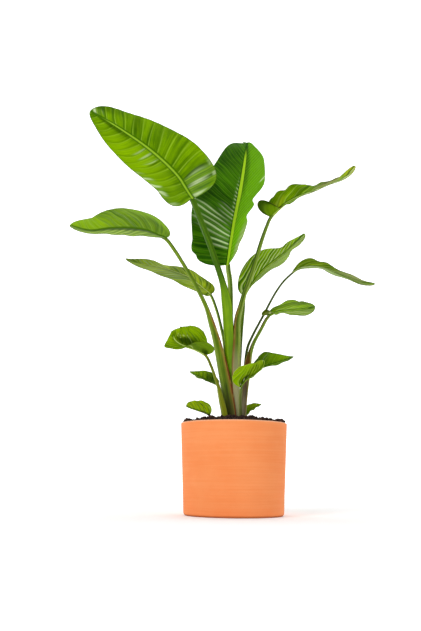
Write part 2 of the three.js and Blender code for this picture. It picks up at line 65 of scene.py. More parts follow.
# smooth curve through a row of numbers, read at places from 0 to its last index
def smoothRow(row, place):
    row = np.asarray(row, float)
    if len(row) == 1:
        return np.full(np.shape(place), row[0])
    wide = np.concatenate([[2 * row[0] - row[1]], row, [2 * row[-1] - row[-2]]])
    i = np.clip(place.astype(int), 0, len(row) - 2)
    a, b, c, d = (wide[i + k] for k in range(4))
    return cubic(b, c, (c - a) / 2, (d - b) / 2, place - i)


# the same with the row spread evenly over the shares 0 to 1, as a column
def spreadRow(row, share):
    return smoothRow(row, share * (len(row) - 1))[:, None]


# straight lines through a row of vectors at even steps of a share
def evenRow(row, share):
    row = np.asarray(row, float)
    if len(row) == 1:
        return np.broadcast_to(row[0], np.shape(share) + row.shape[1:])
    place = np.asarray(share) * (len(row) - 1)
    i = np.clip(place.astype(int), 0, len(row) - 2)
    f = (place - i)[..., None]
    return row[i] * (1 - f) + row[i + 1] * f


# centripetal Catmull-Rom curve through points, read at places from 0 to the last index
def curveAt(points, place):
    wide = np.vstack([2 * points[0] - points[1], points, 2 * points[-1] - points[-2]])
    i = np.clip(place.astype(int), 0, len(points) - 2)
    a, b, c, d = (wide[i + k] for k in range(4))
    pairs = ((a, b), (b, c), (c, d))
    first, middle, last = (np.sqrt(np.linalg.norm(q - p, axis=1))[:, None] for p, q in pairs)
    slopeB = ((b - a) / first - (c - a) / (first + middle) + (c - b) / middle) * middle
    slopeC = ((c - b) / middle - (d - b) / (middle + last) + (d - c) / last) * middle
    return cubic(b, c, slopeB, slopeC, (place - i)[:, None])


# unit vectors
def unit(v):
    return v / np.maximum(np.linalg.norm(v, axis=-1, keepdims=True), tiny)


# point, direction, face direction and rightward side of an axis at the given places:
# the face direction is made square to the axis, and the side is direction x face
def axisFrame(points, place, looks):
    last = len(points) - 1
    small = slopeStep * last
    ahead, behind = np.minimum(place + small, last), np.maximum(place - small, 0)
    along = unit(curveAt(points, ahead) - curveAt(points, behind))
    look = unit(looks - along * np.sum(looks * along, axis=1, keepdims=True))
    return curveAt(points, place), along, look, np.cross(along, look)


# quads of an open grid of rows x columns
def gridQuads(rows, columns):
    i, j = np.meshgrid(np.arange(rows - 1), np.arange(columns - 1), indexing="ij")
    a = (i * columns + j).ravel()
    return np.stack([a, a + 1, a + columns + 1, a + columns], axis=1)


# quads of rings x sides, each ring closed on itself
def ringQuads(rings, sides):
    i, j = np.meshgrid(np.arange(rings - 1), np.arange(sides), indexing="ij")
    a, b = (i * sides + j).ravel(), (i * sides + (j + 1) % sides).ravel()
    return np.stack([a, b, b + sides, a + sides], axis=1)


# a new object in the scene
def addObject(name, data):
    made = bpy.data.objects.new(name, data)
    bpy.context.scene.collection.objects.link(made)
    return made


# a smooth mesh object from points in metres and a list of face tables, each with its own number of corners,
# and with a float attribute for each name in values
def addMesh(name, points, faces, values, material):
    sizes = np.concatenate([np.full(len(part), part.shape[1]) for part in faces])
    corners = np.concatenate([part.ravel() for part in faces])
    mesh = bpy.data.meshes.new(name)
    mesh.vertices.add(len(points))
    mesh.vertices.foreach_set("co", points.astype(np.float32).ravel())
    mesh.loops.add(len(corners))
    mesh.loops.foreach_set("vertex_index", corners.astype(np.int32))
    mesh.polygons.add(len(sizes))
    mesh.polygons.foreach_set("loop_start", (np.cumsum(sizes) - sizes).astype(np.int32))
    mesh.polygons.foreach_set("use_smooth", np.full(len(sizes), True))
    mesh.update(calc_edges=True)
    for key, value in values.items():
        spot = mesh.attributes.new(key, "FLOAT", "POINT")
        spot.data.foreach_set("value", np.asarray(value, np.float32).ravel())
    mesh.materials.append(material)
    return addObject(name, mesh)


# a piece of the object, from points in millimetres; it takes the place of CAD nodes
def addPiece(name, points, faces, values, material, nodes=()):
    piece = addMesh(name, points * mm, faces, values, material)
    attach(piece, "root")
    if nodes:
        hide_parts(*nodes)


# linear colour from screen values 0 to 255
def tint(red, green, blue):
    return tuple((c / 255) ** 2.2 for c in (red, green, blue)) + (1.0,)


# a socket of a material's nodes; arithmetic on it adds Math nodes
class Wire:
    def __init__(self, tree, socket=None):
        self.tree = tree
        self.socket = socket

    # a node of a type, its settings first and then its sockets' values or links; gives one output
    def node(self, kind, settings, inputs, output=0):
        made = self.tree.nodes.new(kind)
        for key, value in settings.items():
            setattr(made, key, value)
        for key, value in inputs.items():
            if isinstance(value, Wire):
                self.tree.links.new(value.socket, made.inputs[key])
            else:
                made.inputs[key].default_value = value
        return Wire(self.tree, made.outputs[output])

    def math(self, operation, *values):
        return self.node("ShaderNodeMath", {"operation": operation}, dict(enumerate(values)))

    def __add__(self, other):
        return self.math("ADD", self, other)

    def __sub__(self, other):
        return self.math("SUBTRACT", self, other)

    def __rsub__(self, other):
        return self.math("SUBTRACT", other, self)

    def __mul__(self, other):
        return self.math("MULTIPLY", self, other)

    def __truediv__(self, other):
        return self.math("DIVIDE", self, other)

    def __abs__(self):
        return self.math("ABSOLUTE", self)

    __radd__ = __add__
    __rmul__ = __mul__

    # 0 below low, 1 above high, and an S between them
    def step(self, low, high):
        kind = {"interpolation_type": "SMOOTHSTEP"}
        return self.node("ShaderNodeMapRange", kind, {"Value": self, "From Min": low, "From Max": high})

    # up and down between 0 and 1, once for each 1 that the value grows
    def ripple(self):
        return abs(self.math("FRACT", self) * 2 - 1)

    # from the first colour to the second as this goes from 0 to 1; 6, 7 and 2 are the node's colour sockets
    def mix(self, first, second):
        return self.node("ShaderNodeMix", {"data_type": "RGBA"}, {0: self, 6: first, 7: second}, 2)

    def value(self, name):
        return self.node("ShaderNodeAttribute", {"attribute_name": name}, {}, "Fac")

    def place(self):
        return self.node("ShaderNodeTexCoord", {}, {}, "Object")

    # X, Y or Z of the place on the piece, in metres
    def placeAlong(self, letter):
        return self.node("ShaderNodeSeparateXYZ", {}, {"Vector": self.place()}, letter)

    def vector(self, x, y, z):
        return self.node("ShaderNodeCombineXYZ", {}, {"X": x, "Y": y, "Z": z})

    def noise(self, where, scale, detail=2.0, roughness=0.5):
        sockets = {"Vector": where, "Scale": scale, "Detail": detail, "Roughness": roughness}
        return self.node("ShaderNodeTexNoise", {}, sockets)


# a new material: gives it with a Wire to build on
def newMaterial(name):
    material = bpy.data.materials.new(name)
    material.use_nodes = True
    material.node_tree.nodes.clear()
    return material, Wire(material.node_tree)


# a colour with others laid over it in turn, each as far as its cover goes from 0 to 1
def coated(colour, coats):
    for cover, coat in coats:
        colour = cover.mix(colour, coat)
    return colour


# closes a material: a Principled shader from sockets' values or links, with a bump of a height in metres
def finishMaterial(wire, inputs, height=None):
    if height is not None:
        bump = {"Strength": bumpStrength, "Distance": 1.0, "Height": height}
        inputs["Normal"] = wire.node("ShaderNodeBump", {}, bump)
    shader = wire.node("ShaderNodeBsdfPrincipled", {}, inputs)
    surface = wire.tree.nodes.new("ShaderNodeOutputMaterial").inputs["Surface"]
    wire.tree.links.new(shader.socket, surface)


# What all leaves start from; each leaf's own dictionary changes some of it. Pairs are for the left and right
# half, rows run from base to tip, and a side is -1 or 1. Each leaf also has a "stalk" (see stalkRow), a "rib"
# of points that runs on from it, the way its "face" looks, and five "widths" of each half.
plainLeaf = {
    "kind": "bright", "paint": {}, "stem": {},  # its row in leafPaints, and what its own paints change
    "opens": [[1, 0, 0]],  # which way the stalk's inner side looks, at even steps from its foot
    "fold": [[0], [0]],  # degrees that each half rises to the face
    "curl": [[0], [0]],  # further degrees of bend from the rib to the margin
    "lobe": [0, 0],  # how far each half reaches back past the base
    "skew": [[0], [0]],  # how far each margin is pushed forward along the rib
    "wave": [[3, 1.5, 0.0], [3, 1.5, 1.5]],  # margin waves: how many, how high, where
    "nicks": [],  # side, share along, its size, and how much narrower the half is there
    "rows": 150, "columns": 34,  # grid of the blade: along it, and across each half
    "veinSpacing": 11, "pleat": 0.6,  # how far apart the veins are, and how deep they lie in the sheet
    "sweep": [[0.4, 0.6, 0.2]] * 2,  # lean of the veins at the base, at the tip, and more at the margin
    "patches": {},  # by tint: side, share along (where its vein starts), share across, sizes, strength
}

# what all blades share
blade = {
    "ribWidth": 0.8, "ribTaper": 0.75,  # the rib's half width against the stalk's, and its loss at the tip
    "ribDepth": 0.6, "ribFade": 1.5,  # its depth against the stalk's, and how fast that goes
    "ribColumns": 5, "ribShare": 0.06,  # grid columns over the rib, and its least share of the half
    "channel": 0.3, "least": 1.25,  # depth of its channel, and a blade's least half width, against the rib's
    "merge": 0.12, "lobe": 0.22,  # shares of the length in which the stalk becomes the rib, and a lobe ends
    "thick": 0.9, "marginThick": 0.45, "straight": 1e-4,  # sheet, and the least bend of a half in radians
    "calm": [1.15, 0.7],  # margin waves end a little before the tip, and how fast they grow from the base
    "sweepLag": 0.2, "sweepRise": [-0.1, 0.3],  # veins lean like those before them, and less near the base
    "wander": 0.12, "wanderWaves": [29, 13],  # how far veins stray in spacings, and how quickly
    "pleatStart": 0.1, "pleatFade": 0.6, "pleatEnds": [0.06, 0.9],  # where pleats are full: across, and along
    "steps": 20,  # of the axis, between its points
}

# what all stalks share
stalkForm = {
    "wall": 2.0, "wallShare": 0.45,  # thickness beside the hollow, at most this share of the half width
    "steps": 8, "arc": 13, "crowding": 0.4,  # rings for each row, points of each arc, crowded to the edges
    "rimRise": 0.25,  # how far the edge rounds up, against the wall there
    "sunk": [[4, 0.72], [9, 0.4]],  # how far it runs on into the rib, and its size there
    "rim": [0.98, 1], "band": [0.92, 0.99], "sheath": [0.2, 0.6],  # where the masks start and are full
}


# a stalk's row in full: x, y, height, half width, depth (the width if not given) and how hollow it is
def stalkRow(x, y, z, half, depth=None, hollow=0.1):
    return [x, y, z, half, 2 * half if depth is None else depth, hollow]


# A leaf's axis: its points, the place where the blade starts, the blade's length, and the place at each share
def leafAxis(leaf):
    steps = blade["steps"]
    points = np.array([row[:3] for row in leaf["stalk"]] + leaf["rib"], float)
    joint = len(leaf["stalk"]) - 1
    places = np.linspace(0, len(points) - 1, (len(points) - 1) * steps + 1)
    pieces = np.linalg.norm(np.diff(curveAt(points, places), axis=0), axis=1)
    lengths = np.concatenate([[0], np.cumsum(pieces)])
    start = lengths[joint * steps]
    length = lengths[-1] - start
    return points, joint, length, lambda share: np.interp(start + length * share, lengths, places)


# half width along a blade: its widths at even angles of an ellipse, round at the base and long at the tip
def halfWidth(widths, share):
    return np.maximum(smoothRow([0, *widths, 0], np.arccos(1 - 2 * share) / np.pi * (len(widths) + 1)), 0)


# The blade's upper and under side as grids of points, and what its material reads.
# Across each half the sheet is an arc: it leaves the rib at the fold angle and bends by the curl.
# The margin waves and the pleats then move it along its own normal.
def bladeSurface(leaf):
    b, spacing = blade, leaf["veinSpacing"]
    points, joint, length, placeAt = leafAxis(leaf)
    even = np.linspace(0, 1, leaf["rows"])
    share = (even + (1 - np.cos(np.pi * even)) / 2) / 2
    point, along, look, side = axisFrame(points, placeAt(share), evenRow(leaf["face"], share))
    stalkHalf, stalkDepth = stalkRow(*leaf["stalk"][joint])[3:5]
    ribHalf = stalkHalf * b["ribWidth"] * (1 - b["ribTaper"] * share)
    merge = np.maximum(1 - share / b["merge"], 0) ** 2
    slender = (1 - share) ** b["ribFade"] * b["ribDepth"]
    ribDepth = (stalkDepth - b["thick"]) * (slender + (1 - slender) * merge)
    point = point + look * (stalkDepth / 2 * merge)[:, None]

    s, least = share[:, None], ribHalf * b["least"]
    turn = np.sin(np.linspace(0, 1, b["ribColumns"] + 1) * np.pi / 2)
    outer = np.linspace(0, 1, leaf["columns"] + 1)[1:]
    halves = []
    for half, sign in ((0, -1), (1, 1)):
        widths = leaf["widths"][half]
        width = np.maximum(halfWidth(widths, share), least)
        for nickSide, centre, size, amount in leaf["nicks"]:
            width = width - (nickSide == sign) * amount * bell(share, centre, size)
        width = np.maximum(width, least)[:, None]
        rib = np.maximum(ribHalf[:, None] / width, b["ribShare"])
        reach = np.hstack([rib * turn, rib + (1 - rib) * outer])
        step = np.broadcast_to(np.concatenate([0 * turn, outer]), reach.shape)
        start, bend = (np.radians(spreadRow(leaf[key][half], share)) for key in ("fold", "curl"))
        bend = np.where(np.abs(bend) < b["straight"], b["straight"], bend)
        end = start + bend * reach
        opened = np.minimum((width - least[:, None]) / (widths[0] - least[:, None]), 1)
        back = leaf["lobe"][half] * opened * np.maximum(1 - share / b["lobe"], 0)[:, None] ** 2
        back = back - spreadRow(leaf["skew"][half], share) * opened
        away = sign * width * (np.sin(end) - np.sin(start)) / bend
        rise = width * (np.cos(start) - np.cos(end)) / bend
        sheet = (point[:, None] + side[:, None] * away[..., None] + look[:, None] * rise[..., None]
                 - along[:, None] * (back * step ** 2)[..., None])
        out = look[:, None] * np.cos(end)[..., None] - side[:, None] * (sign * np.sin(end))[..., None]

        count, high, phase = leaf["wave"][half]
        calm = np.sin(np.pi * np.clip(s * b["calm"][0], 0, 1)) ** b["calm"][1]
        lift = high * step ** 2 * np.sin(2 * np.pi * count * s + phase) * calm
        leanBase, leanTip, leanOut = leaf["sweep"][half]
        lean = leanBase + (leanTip - leanBase) * np.clip(s - b["sweepLag"] * step, 0, 1)
        run = width * (lean * step + leanOut * step ** 3) * smoothStep(*b["sweepRise"], s)
        many, few = b["wanderWaves"]
        vein = s * length - run + b["wander"] * spacing * np.sin(s * many + 2 * sign) * np.sin(s * few + 1)
        flat = smoothStep(0, b["pleatStart"], step) * (1 - b["pleatFade"] * step)
        flat = flat * smoothStep(0, b["pleatEnds"][0], s) * smoothStep(1, b["pleatEnds"][1], s)
        lift = lift - leaf["pleat"] * (0.5 + 0.5 * np.cos(2 * np.pi * vein / spacing)) * flat
        halves.append({
            "sheet": sheet + out * lift[..., None], "vein": vein, "start": vein / length,
            "across": sign * reach, "step": step, "along": np.broadcast_to(s, reach.shape),
            "ridge": np.sqrt(np.maximum(1 - (reach / rib) ** 2, 0)), "beside": width * (reach - rib),
            "margin": width * (1 - reach),
        })
    whole = {key: np.concatenate([halves[0][key][:, :0:-1], halves[1][key]], axis=1) for key in halves[0]}
    sheet = whole.pop("sheet")
    normal = unit(np.cross(np.gradient(sheet, axis=1), np.gradient(sheet, axis=0)))
    thick = b["thick"] + (b["marginThick"] - b["thick"]) * whole["step"] ** 3
    dip = b["channel"] * ribHalf[:, None] * whole["ridge"] ** 2
    top = sheet + normal * (thick / 2)[..., None] - look[:, None] * dip[..., None]
    deep = ribDepth[:, None] * whole["ridge"]
    bottom = sheet - normal * (thick / 2)[..., None] - look[:, None] * deep[..., None]
    return top, bottom, whole


# one closed mesh from the upper and the under grid: both sides and a strip round their edge
def addBlade(name, leaf, material):
    top, bottom, values = bladeSurface(leaf)
    rows, columns = top.shape[:2]
    count = rows * columns
    upper = gridQuads(rows, columns)
    index = np.arange(count).reshape(rows, columns)
    edge = np.concatenate([index[0, :-1], index[:-1, -1], index[-1, :0:-1], index[:0:-1, 0]])
    after = np.roll(edge, -1)
    rim = np.stack([edge, edge + count, after + count, after], axis=1)
    faces = [upper, upper[:, ::-1] + count, rim]
    points = np.vstack([top.reshape(-1, 3), bottom.reshape(-1, 3)])
    kept = {key: values[key] for key in ("vein", "across", "margin", "beside", "ridge", "along")}
    for key in leafTints:
        kept[key] = np.zeros((rows, columns))
        for sign, along, across, size, spread, strength in leaf["patches"].get(key, []):
            here = np.sign(values["across"] + sign * tiny) == sign
            out = np.abs(values["across"])
            off = ((values["start"] - along) / size) ** 2 + ((out - across) / spread) ** 2
            kept[key] = kept[key] + strength * here * np.exp(-off ** 2)
    both = {key: np.concatenate([value.ravel(), value.ravel()]) for key, value in kept.items()}
    both["under"] = np.concatenate([np.zeros(count), np.ones(count)])
    addPiece("leaf_" + name, points, faces, both, material, ["blade_" + name])


# The stalk as one closed mesh: half ellipses, hollowed on their inner side, carried along the axis.
# It runs on a little into the blade's rib, getting smaller, so that no gap shows between them.
def addStalk(name, leaf, material):
    f = stalkForm
    points, joint, length, placeAt = leafAxis(leaf)
    rows = np.array([stalkRow(*row) for row in leaf["stalk"]], float)
    last = joint * f["steps"]
    place = np.linspace(0, joint, last + 1)
    looks = evenRow(leaf["opens"] + [leaf["face"][0]], place / joint)
    half, depth, hollow = (smoothRow(rows[:, column], place)[:, None] for column in (3, 4, 5))
    inner = half - np.minimum(f["wall"], half * f["wallShare"])
    turn = np.linspace(0, 1, f["arc"])
    angle = np.pi * turn - f["crowding"] * np.sin(2 * np.pi * turn)
    rimAcross, rimUp = (half + inner) / 2, -f["rimRise"] * (half - inner)
    across = np.hstack([rimAcross, inner * np.cos(angle), -rimAcross, half * np.cos(angle[::-1])])
    down = np.hstack([rimUp, depth * hollow * np.sin(angle), rimUp, depth * np.sin(angle[::-1])])
    for sunk, shrink in f["sunk"]:
        place = np.append(place, placeAt(sunk / length))
        looks = np.vstack([looks, looks[-1]])
        across = np.vstack([across, across[last] * shrink])
        down = np.vstack([down, depth[-1] / 2 + (down[last] - depth[-1] / 2) * shrink])
        depth, hollow = np.vstack([depth, depth[-1]]), np.vstack([hollow, hollow[-1]])
    point, along, look, side = axisFrame(points, place, looks)
    ring = point[:, None] + side[:, None] * across[..., None] + look[:, None] * (depth / 2 - down)[..., None]
    rings, count = ring.shape[:2]
    k = np.arange(count // 2 - 1)
    foot = np.stack([k, k + 1, count - 2 - k, count - 1 - k], axis=1)
    faces = [ringQuads(rings, count)[:, [1, 0, 3, 2]], foot, foot[:, ::-1] + (rings - 1) * count]
    edge, outer = (smoothStep(*f[key], np.abs(np.cos(angle))) for key in ("rim", "band"))
    walked = np.concatenate([[0], np.cumsum(np.linalg.norm(np.diff(point, axis=0), axis=1))])[:, None]
    values = {
        "rim": np.concatenate([[1], edge, [1], edge]), "band": np.concatenate([[1], edge, [1], outer]),
        "inner": np.concatenate([[0.5], np.ones(f["arc"]), [0.5], np.zeros(f["arc"])]),
        "around": across, "reach": walked, "sheath": smoothStep(*f["sheath"], hollow),
        "turned": unit(ring - point[:, None])[..., 0],
    }
    values = {key: value + 0 * across for key, value in values.items()}
    addPiece("petiole_" + name, ring.reshape(-1, 3), faces, values, material, ["stalk_" + name])


# Colours of the blades as screen values, and strengths. "thin" is where a vein's line starts beside the vein,
# "least" a vein's least strength, "fade" its loss to the margin, "core" where the rib's colour starts on it,
# "ribEnd" the share of the length where that ends, and "cover" is the under side's
plainPaint = {
    "lines": 0.8, "creases": 0.8, "streaks": 0.7, "threads": 0.7, "ribShade": 0.85, "edges": 0.7, "thin": 0.6,
    "core": 0.7, "fade": 0.3, "ribEnd": 0.9, "least": 0.2, "cover": 0.7,
    # the first three colours on the next line are a painted sheen, painted light in yellow-green and painted
    # shade
    "pale": (206, 228, 168), "sunlit": (146, 190, 8), "dark": (22, 52, 2), "grey": (150, 160, 100),
}
# the patch tints in turn: a pale one for painted sheen, a yellow-green one for painted light, a dark one for
# painted shade, and grey
leafTints = ("pale", "sunlit", "dark", "grey")  # those that patches are painted with
leafPaints = {
    "dark": {
        **plainPaint, "deep": (24, 70, 1), "light": (58, 110, 3), "line": (120, 168, 40),
        "rib": (164, 206, 40), "edge": (110, 150, 40), "under": (96, 130, 34), "lines": 0.7, "creases": 0.7,
        "streaks": 0.8, "ribShade": 0.8, "edges": 0.4, "core": 0.35, "fade": 0.4, "ribEnd": 0.95,
    },
    "bright": {
        **plainPaint, "deep": (64, 106, 0), "light": (122, 166, 2), "line": (158, 196, 60),
        "rib": (150, 190, 50), "edge": (74, 92, 12), "under": (104, 134, 36), "streaks": 0.5,
        "threads": 0.45, "edges": 0.8, "thin": 0.82, "fade": 0.6, "ribEnd": 0.92,
    },
    "young": {
        **plainPaint, "deep": (66, 102, 0), "light": (128, 162, 8), "line": (182, 208, 90),
        "rib": (160, 184, 60), "edge": (96, 112, 24), "under": (112, 138, 40),
    },
}


# Leaf blade. Each vein is a light line, partly its own colour and partly painted light on the pleat's ridge,
# with a crease of painted shade beside it, as strong as noise makes its half; streaks and threads are noise
# stretched along the veins, from the deep to the light green. Over that go yellow-green patches of painted
# light, the creases, lines, the under side, grey patches, dark patches of painted shade, pale patches of
# painted sheen, painted shade beside the rib, the rib and the margin's line.
def leafMaterial(name, paint, spacing):
    material, wire = newMaterial(name)
    keys = ("deep", "light", "line", "rib", "edge", "under", "pale", "sunlit", "dark", "grey")
    deep, light, line, rib, edge, under, pale, sunlit, dark, grey = (tint(*paint[key]) for key in keys)
    keys = ("across", "margin", "beside", "ridge", "under", "sunlit")
    across, margin, beside, ridge, below, sunlitCover = (wire.value(key) for key in keys)
    count = wire.value("vein") / spacing
    out, side = abs(across), across.math("SIGN", across)
    own = wire.noise(wire.vector(0.0, side * 9.1, 4.0), 1.0, 0.0).step(0.3, 0.58)
    shown = (own * (1 - paint["least"]) + paint["least"]) * out.step(0.02, 0.1) * (1 - out * paint["fade"])
    # a vein's light line is partly its own colour and partly painted light on the pleat's ridge; the crease
    # beside it is painted shade
    lines = count.ripple().step(paint["thin"], 1.0) * shown * (1 - sunlitCover * 0.6)
    creases = (count - 0.16).ripple().step(paint["thin"] - 0.1, 1.0) * shown
    # the facet of each pleat on which the painted sheen is strongest
    litFacet = (count - 0.3).ripple().step(0.5, 0.85)
    streak = wire.noise(wire.vector(count * 1.3, out * 0.5, side * 3.0), 1.0, 3.0, 0.65)
    thread = wire.noise(wire.vector(count * 7.0, out * 0.9, side * 5.0), 1.0, 2.0)
    cloud = wire.noise(wire.place(), 13.0, 3.0)
    level = 0.5 + (streak.step(0.3, 0.7) - 0.5) * paint["streaks"] + (cloud.step(0.3, 0.7) - 0.5) * 0.4
    level = level + (thread.step(0.3, 0.7) - 0.5) * paint["threads"]
    broken = 0.75 + thread * 0.5
    core = ridge.step(paint["core"], paint["core"] + 0.25)
    core = core * (1 - wire.value("along").step(paint["ribEnd"] - 0.12, paint["ribEnd"]))
    colour = coated(level.mix(deep, light), [
        # painted light: a yellower green where the leaf is lit
        (sunlitCover * broken, sunlit),
        (creases * paint["creases"], deep),
        (lines * paint["lines"], line),
        (below * paint["cover"], under),
        (wire.value("grey") * (0.6 + streak * 0.6), grey),
        # painted shade: dark patches where the leaf lies in shadow
        (wire.value("dark") * broken, dark),
        # painted sheen: pale patches, strongest on the lit facet of each pleat
        (wire.value("pale") * (0.05 + litFacet * 0.95) * (streak * 0.6 + thread * 0.6 + 0.4), pale),
        # painted shade in a narrow strip beside the rib, on the upper side
        ((1 - beside.step(0.2, 3.0)) * paint["ribShade"] * (1 - below), deep),
        (core * 0.95, rib),
        ((1 - margin.step(0.5, 1.8)) * paint["edges"], edge),
    ])
    finishMaterial(wire, {
        "Base Color": colour, "Roughness": 0.46 + thread * 0.2 + below * 0.15,
        "Specular IOR Level": 0.1, "Specular Tint": tint(190, 220, 70),
    }, lines * 0.0001 - creases * 0.0004 + streak * 0.0004 + thread * 0.00015 + cloud * 0.0005)
    return material


# What a leaf's stalk is painted with. Its side key is 1 where its right side is painted lit and pale and its
# left painted in shade and dark, -1 the other way round, and the key after it says how strongly; "foot" takes
# over below the height "low" and "upper" above "high", in metres, as far as "lowest" and "highest"; "edge" is
# the sheath's edge, "band" the strip beside it
stalkPaint = {
    "dark": (38, 64, 0), "bright": (116, 150, 14), "pale": (180, 204, 90), "inner": (58, 92, 6),
    "foot": (96, 86, 66), "low": 0.27, "lowest": 0.8, "upper": (36, 74, 4), "high": 0.5, "highest": 0.0,
    "edge": (116, 62, 24), "edges": 0.8, "band": (150, 112, 44), "bands": 0.6, "litSide": -1.0, "litSideStrength": 0.8,
}


# Leaf stalk: long fibres of a noise stretched along it, a side of painted light and a side of painted shade,
# its inner side, a brown band beside the sheath's edge, darker high up and grey-purple towards the soil, and
# a red-brown line on the edge
def stalkMaterial(name, paint):
    material, wire = newMaterial(name)
    keys = ("dark", "bright", "pale", "foot", "edge", "inner", "band", "upper")
    dark, bright, pale, foot, edge, inner, band, upper = (tint(*paint[key]) for key in keys)
    around, reach, rim, sheath = (wire.value(key) for key in ("around", "reach", "rim", "sheath"))
    fibre = wire.noise(wire.vector(around * 0.5, reach * 0.005, 1.0), 1.0, 3.0, 0.6)
    thread = wire.noise(wire.vector(around * 1.8, reach * 0.012, 5.0), 1.0, 2.0)
    cloud = wire.noise(wire.place(), 24.0, 3.0)
    height = wire.placeAlong("Z")
    turned = wire.value("turned") * paint["litSide"]
    level = fibre.step(0.32, 0.68) * 0.55 + cloud.step(0.35, 0.65) * 0.25 + thread * 0.2
    low = 1 - (height + fibre * 0.1).step(paint["low"], paint["low"] + 0.1)
    colour = coated(level.mix(dark, bright), [
        # painted light on one side of the stalk and painted shade on the other
        (turned.step(0.1, 0.75) * paint["litSideStrength"] * (0.5 + fibre), pale),
        ((turned * -1).step(0.1, 0.9) * paint["litSideStrength"], dark),
        (wire.value("inner") * (0.4 + sheath * 0.5), inner),
        (wire.value("band") * sheath * (0.3 + fibre) * paint["bands"], band),
        (height.step(paint["high"], paint["high"] + 0.08) * paint["highest"], upper),
        (low * paint["lowest"] * (0.55 + thread * 0.6), foot),
        (rim * (0.25 + sheath * 0.35) * thread.step(0.3, 0.6), pale),
        (rim.step(0.35, 0.8) * sheath * cloud.step(0.3, 0.5) * paint["edges"], edge),
    ])
    finishMaterial(wire, {
        "Base Color": colour, "Roughness": 0.42 + thread * 0.15, "Specular IOR Level": 0.15,
    }, fibre * 0.0004 + thread * 0.0002)
    return material


# both pieces of a leaf
def addLeaf(name, changes):
    leaf = {**plainLeaf, **changes}
    paint = {**leafPaints[leaf["kind"]], **leaf["paint"]}
    addBlade(name, leaf, leafMaterial("leaf_" + name, paint, leaf["veinSpacing"]))
    addStalk(name, leaf, stalkMaterial("petiole_" + name, {**stalkPaint, **leaf["stem"]}))
    print("leaf", name)


# the tallest leaf on the left, its face to the front
addLeaf("upper_left", {
    "stalk": [[-8, 0, 172, 7, 16, 0.78], [-8, 0, 225, 7, 16, 0.78], [-9.5, -1, 290, 7.2, 18, 0.78],
        [-11, -2, 345, 7, 21, 0.78], [-14, -4, 430, 7.4, 24, 0.8], [-19.5, -6, 505, 8.2, 24, 0.75],
        [-29, -9, 550, 7.2, 15, 0.3], [-46, -16, 600, 7, 13, 0.12], [-68, -24, 660, 7, 13],
        [-90, -33, 714, 6.8, 12.5], [-108, -41, 757, 6.5, 12]],
    "rib": [[-127, -48, 791], [-145, -54, 816], [-205, -72, 869], [-288, -95, 921], [-358, -112, 957]],
    "opens": [[1, -0.1, 0], [1, -0.1, 0], [1, -0.1, 0], [0.85, -0.5, 0.05]],
    "face": [[0.5, -0.85, 0.1], [0.35, -0.93, 0.05], [0.3, -0.93, 0.1]],
    "widths": [[70, 74, 74, 58, 26], [86, 102, 86, 58, 36]], "fold": [[8, 2, 0], [10, 4, 0]],
    "curl": [[-10, -14, -8], [14, -10, -8]], "lobe": [30, 0], "sweep": [[0, 0.6, 0.5], [0.05, 0.8, 0]],
    "rows": 210, "columns": 40, "veinSpacing": 24, "pleat": 1.6,
    "stem": {"dark": (74, 116, 0), "bright": (138, 180, 2), "inner": (134, 174, 2), "pale": (128, 168, 14),
        "foot": (44, 56, 14), "low": 0.2, "litSideStrength": 0.35, "edges": 0, "bands": 0, "highest": 0.75,
        "upper": (40, 84, 0), "lowest": 1},
    "patches": {
        "pale": [[1, 0.055, 0.4, 0.045, 0.4, 0.95], [1, 0.128, 0.5, 0.03, 0.45, 0.95],
            [1, 0.1, 0.95, 0.07, 0.07, 0.5], [1, 0.95, 0.4, 0.05, 0.35, 0.8],
            [-1, 0.4, 0.32, 0.012, 0.26, 0.9], [-1, 0.455, 0.3, 0.01, 0.24, 0.5],
            [-1, 0.52, 0.3, 0.01, 0.24, 0.35], [-1, 0.345, 0.28, 0.009, 0.2, 0.5],
            [-1, 0.15, 0.95, 0.14, 0.16, 0.8]],
        "dark": [[1, 0.093, 0.5, 0.006, 0.6, 0.8], [1, 0.165, 0.5, 0.005, 0.5, 0.7],
            [-1, 0.8, 0.12, 0.14, 0.12, 0.6], [-1, 0.375, 0.3, 0.008, 0.25, 0.6],
            [1, 0.62, 0.6, 0.03, 0.4, 0.35], [1, 0.85, 0.8, 0.12, 0.3, 0.3]],
        "sunlit": [[-1, 0.45, 0.6, 0.35, 0.5, 0.5]],
    },
})

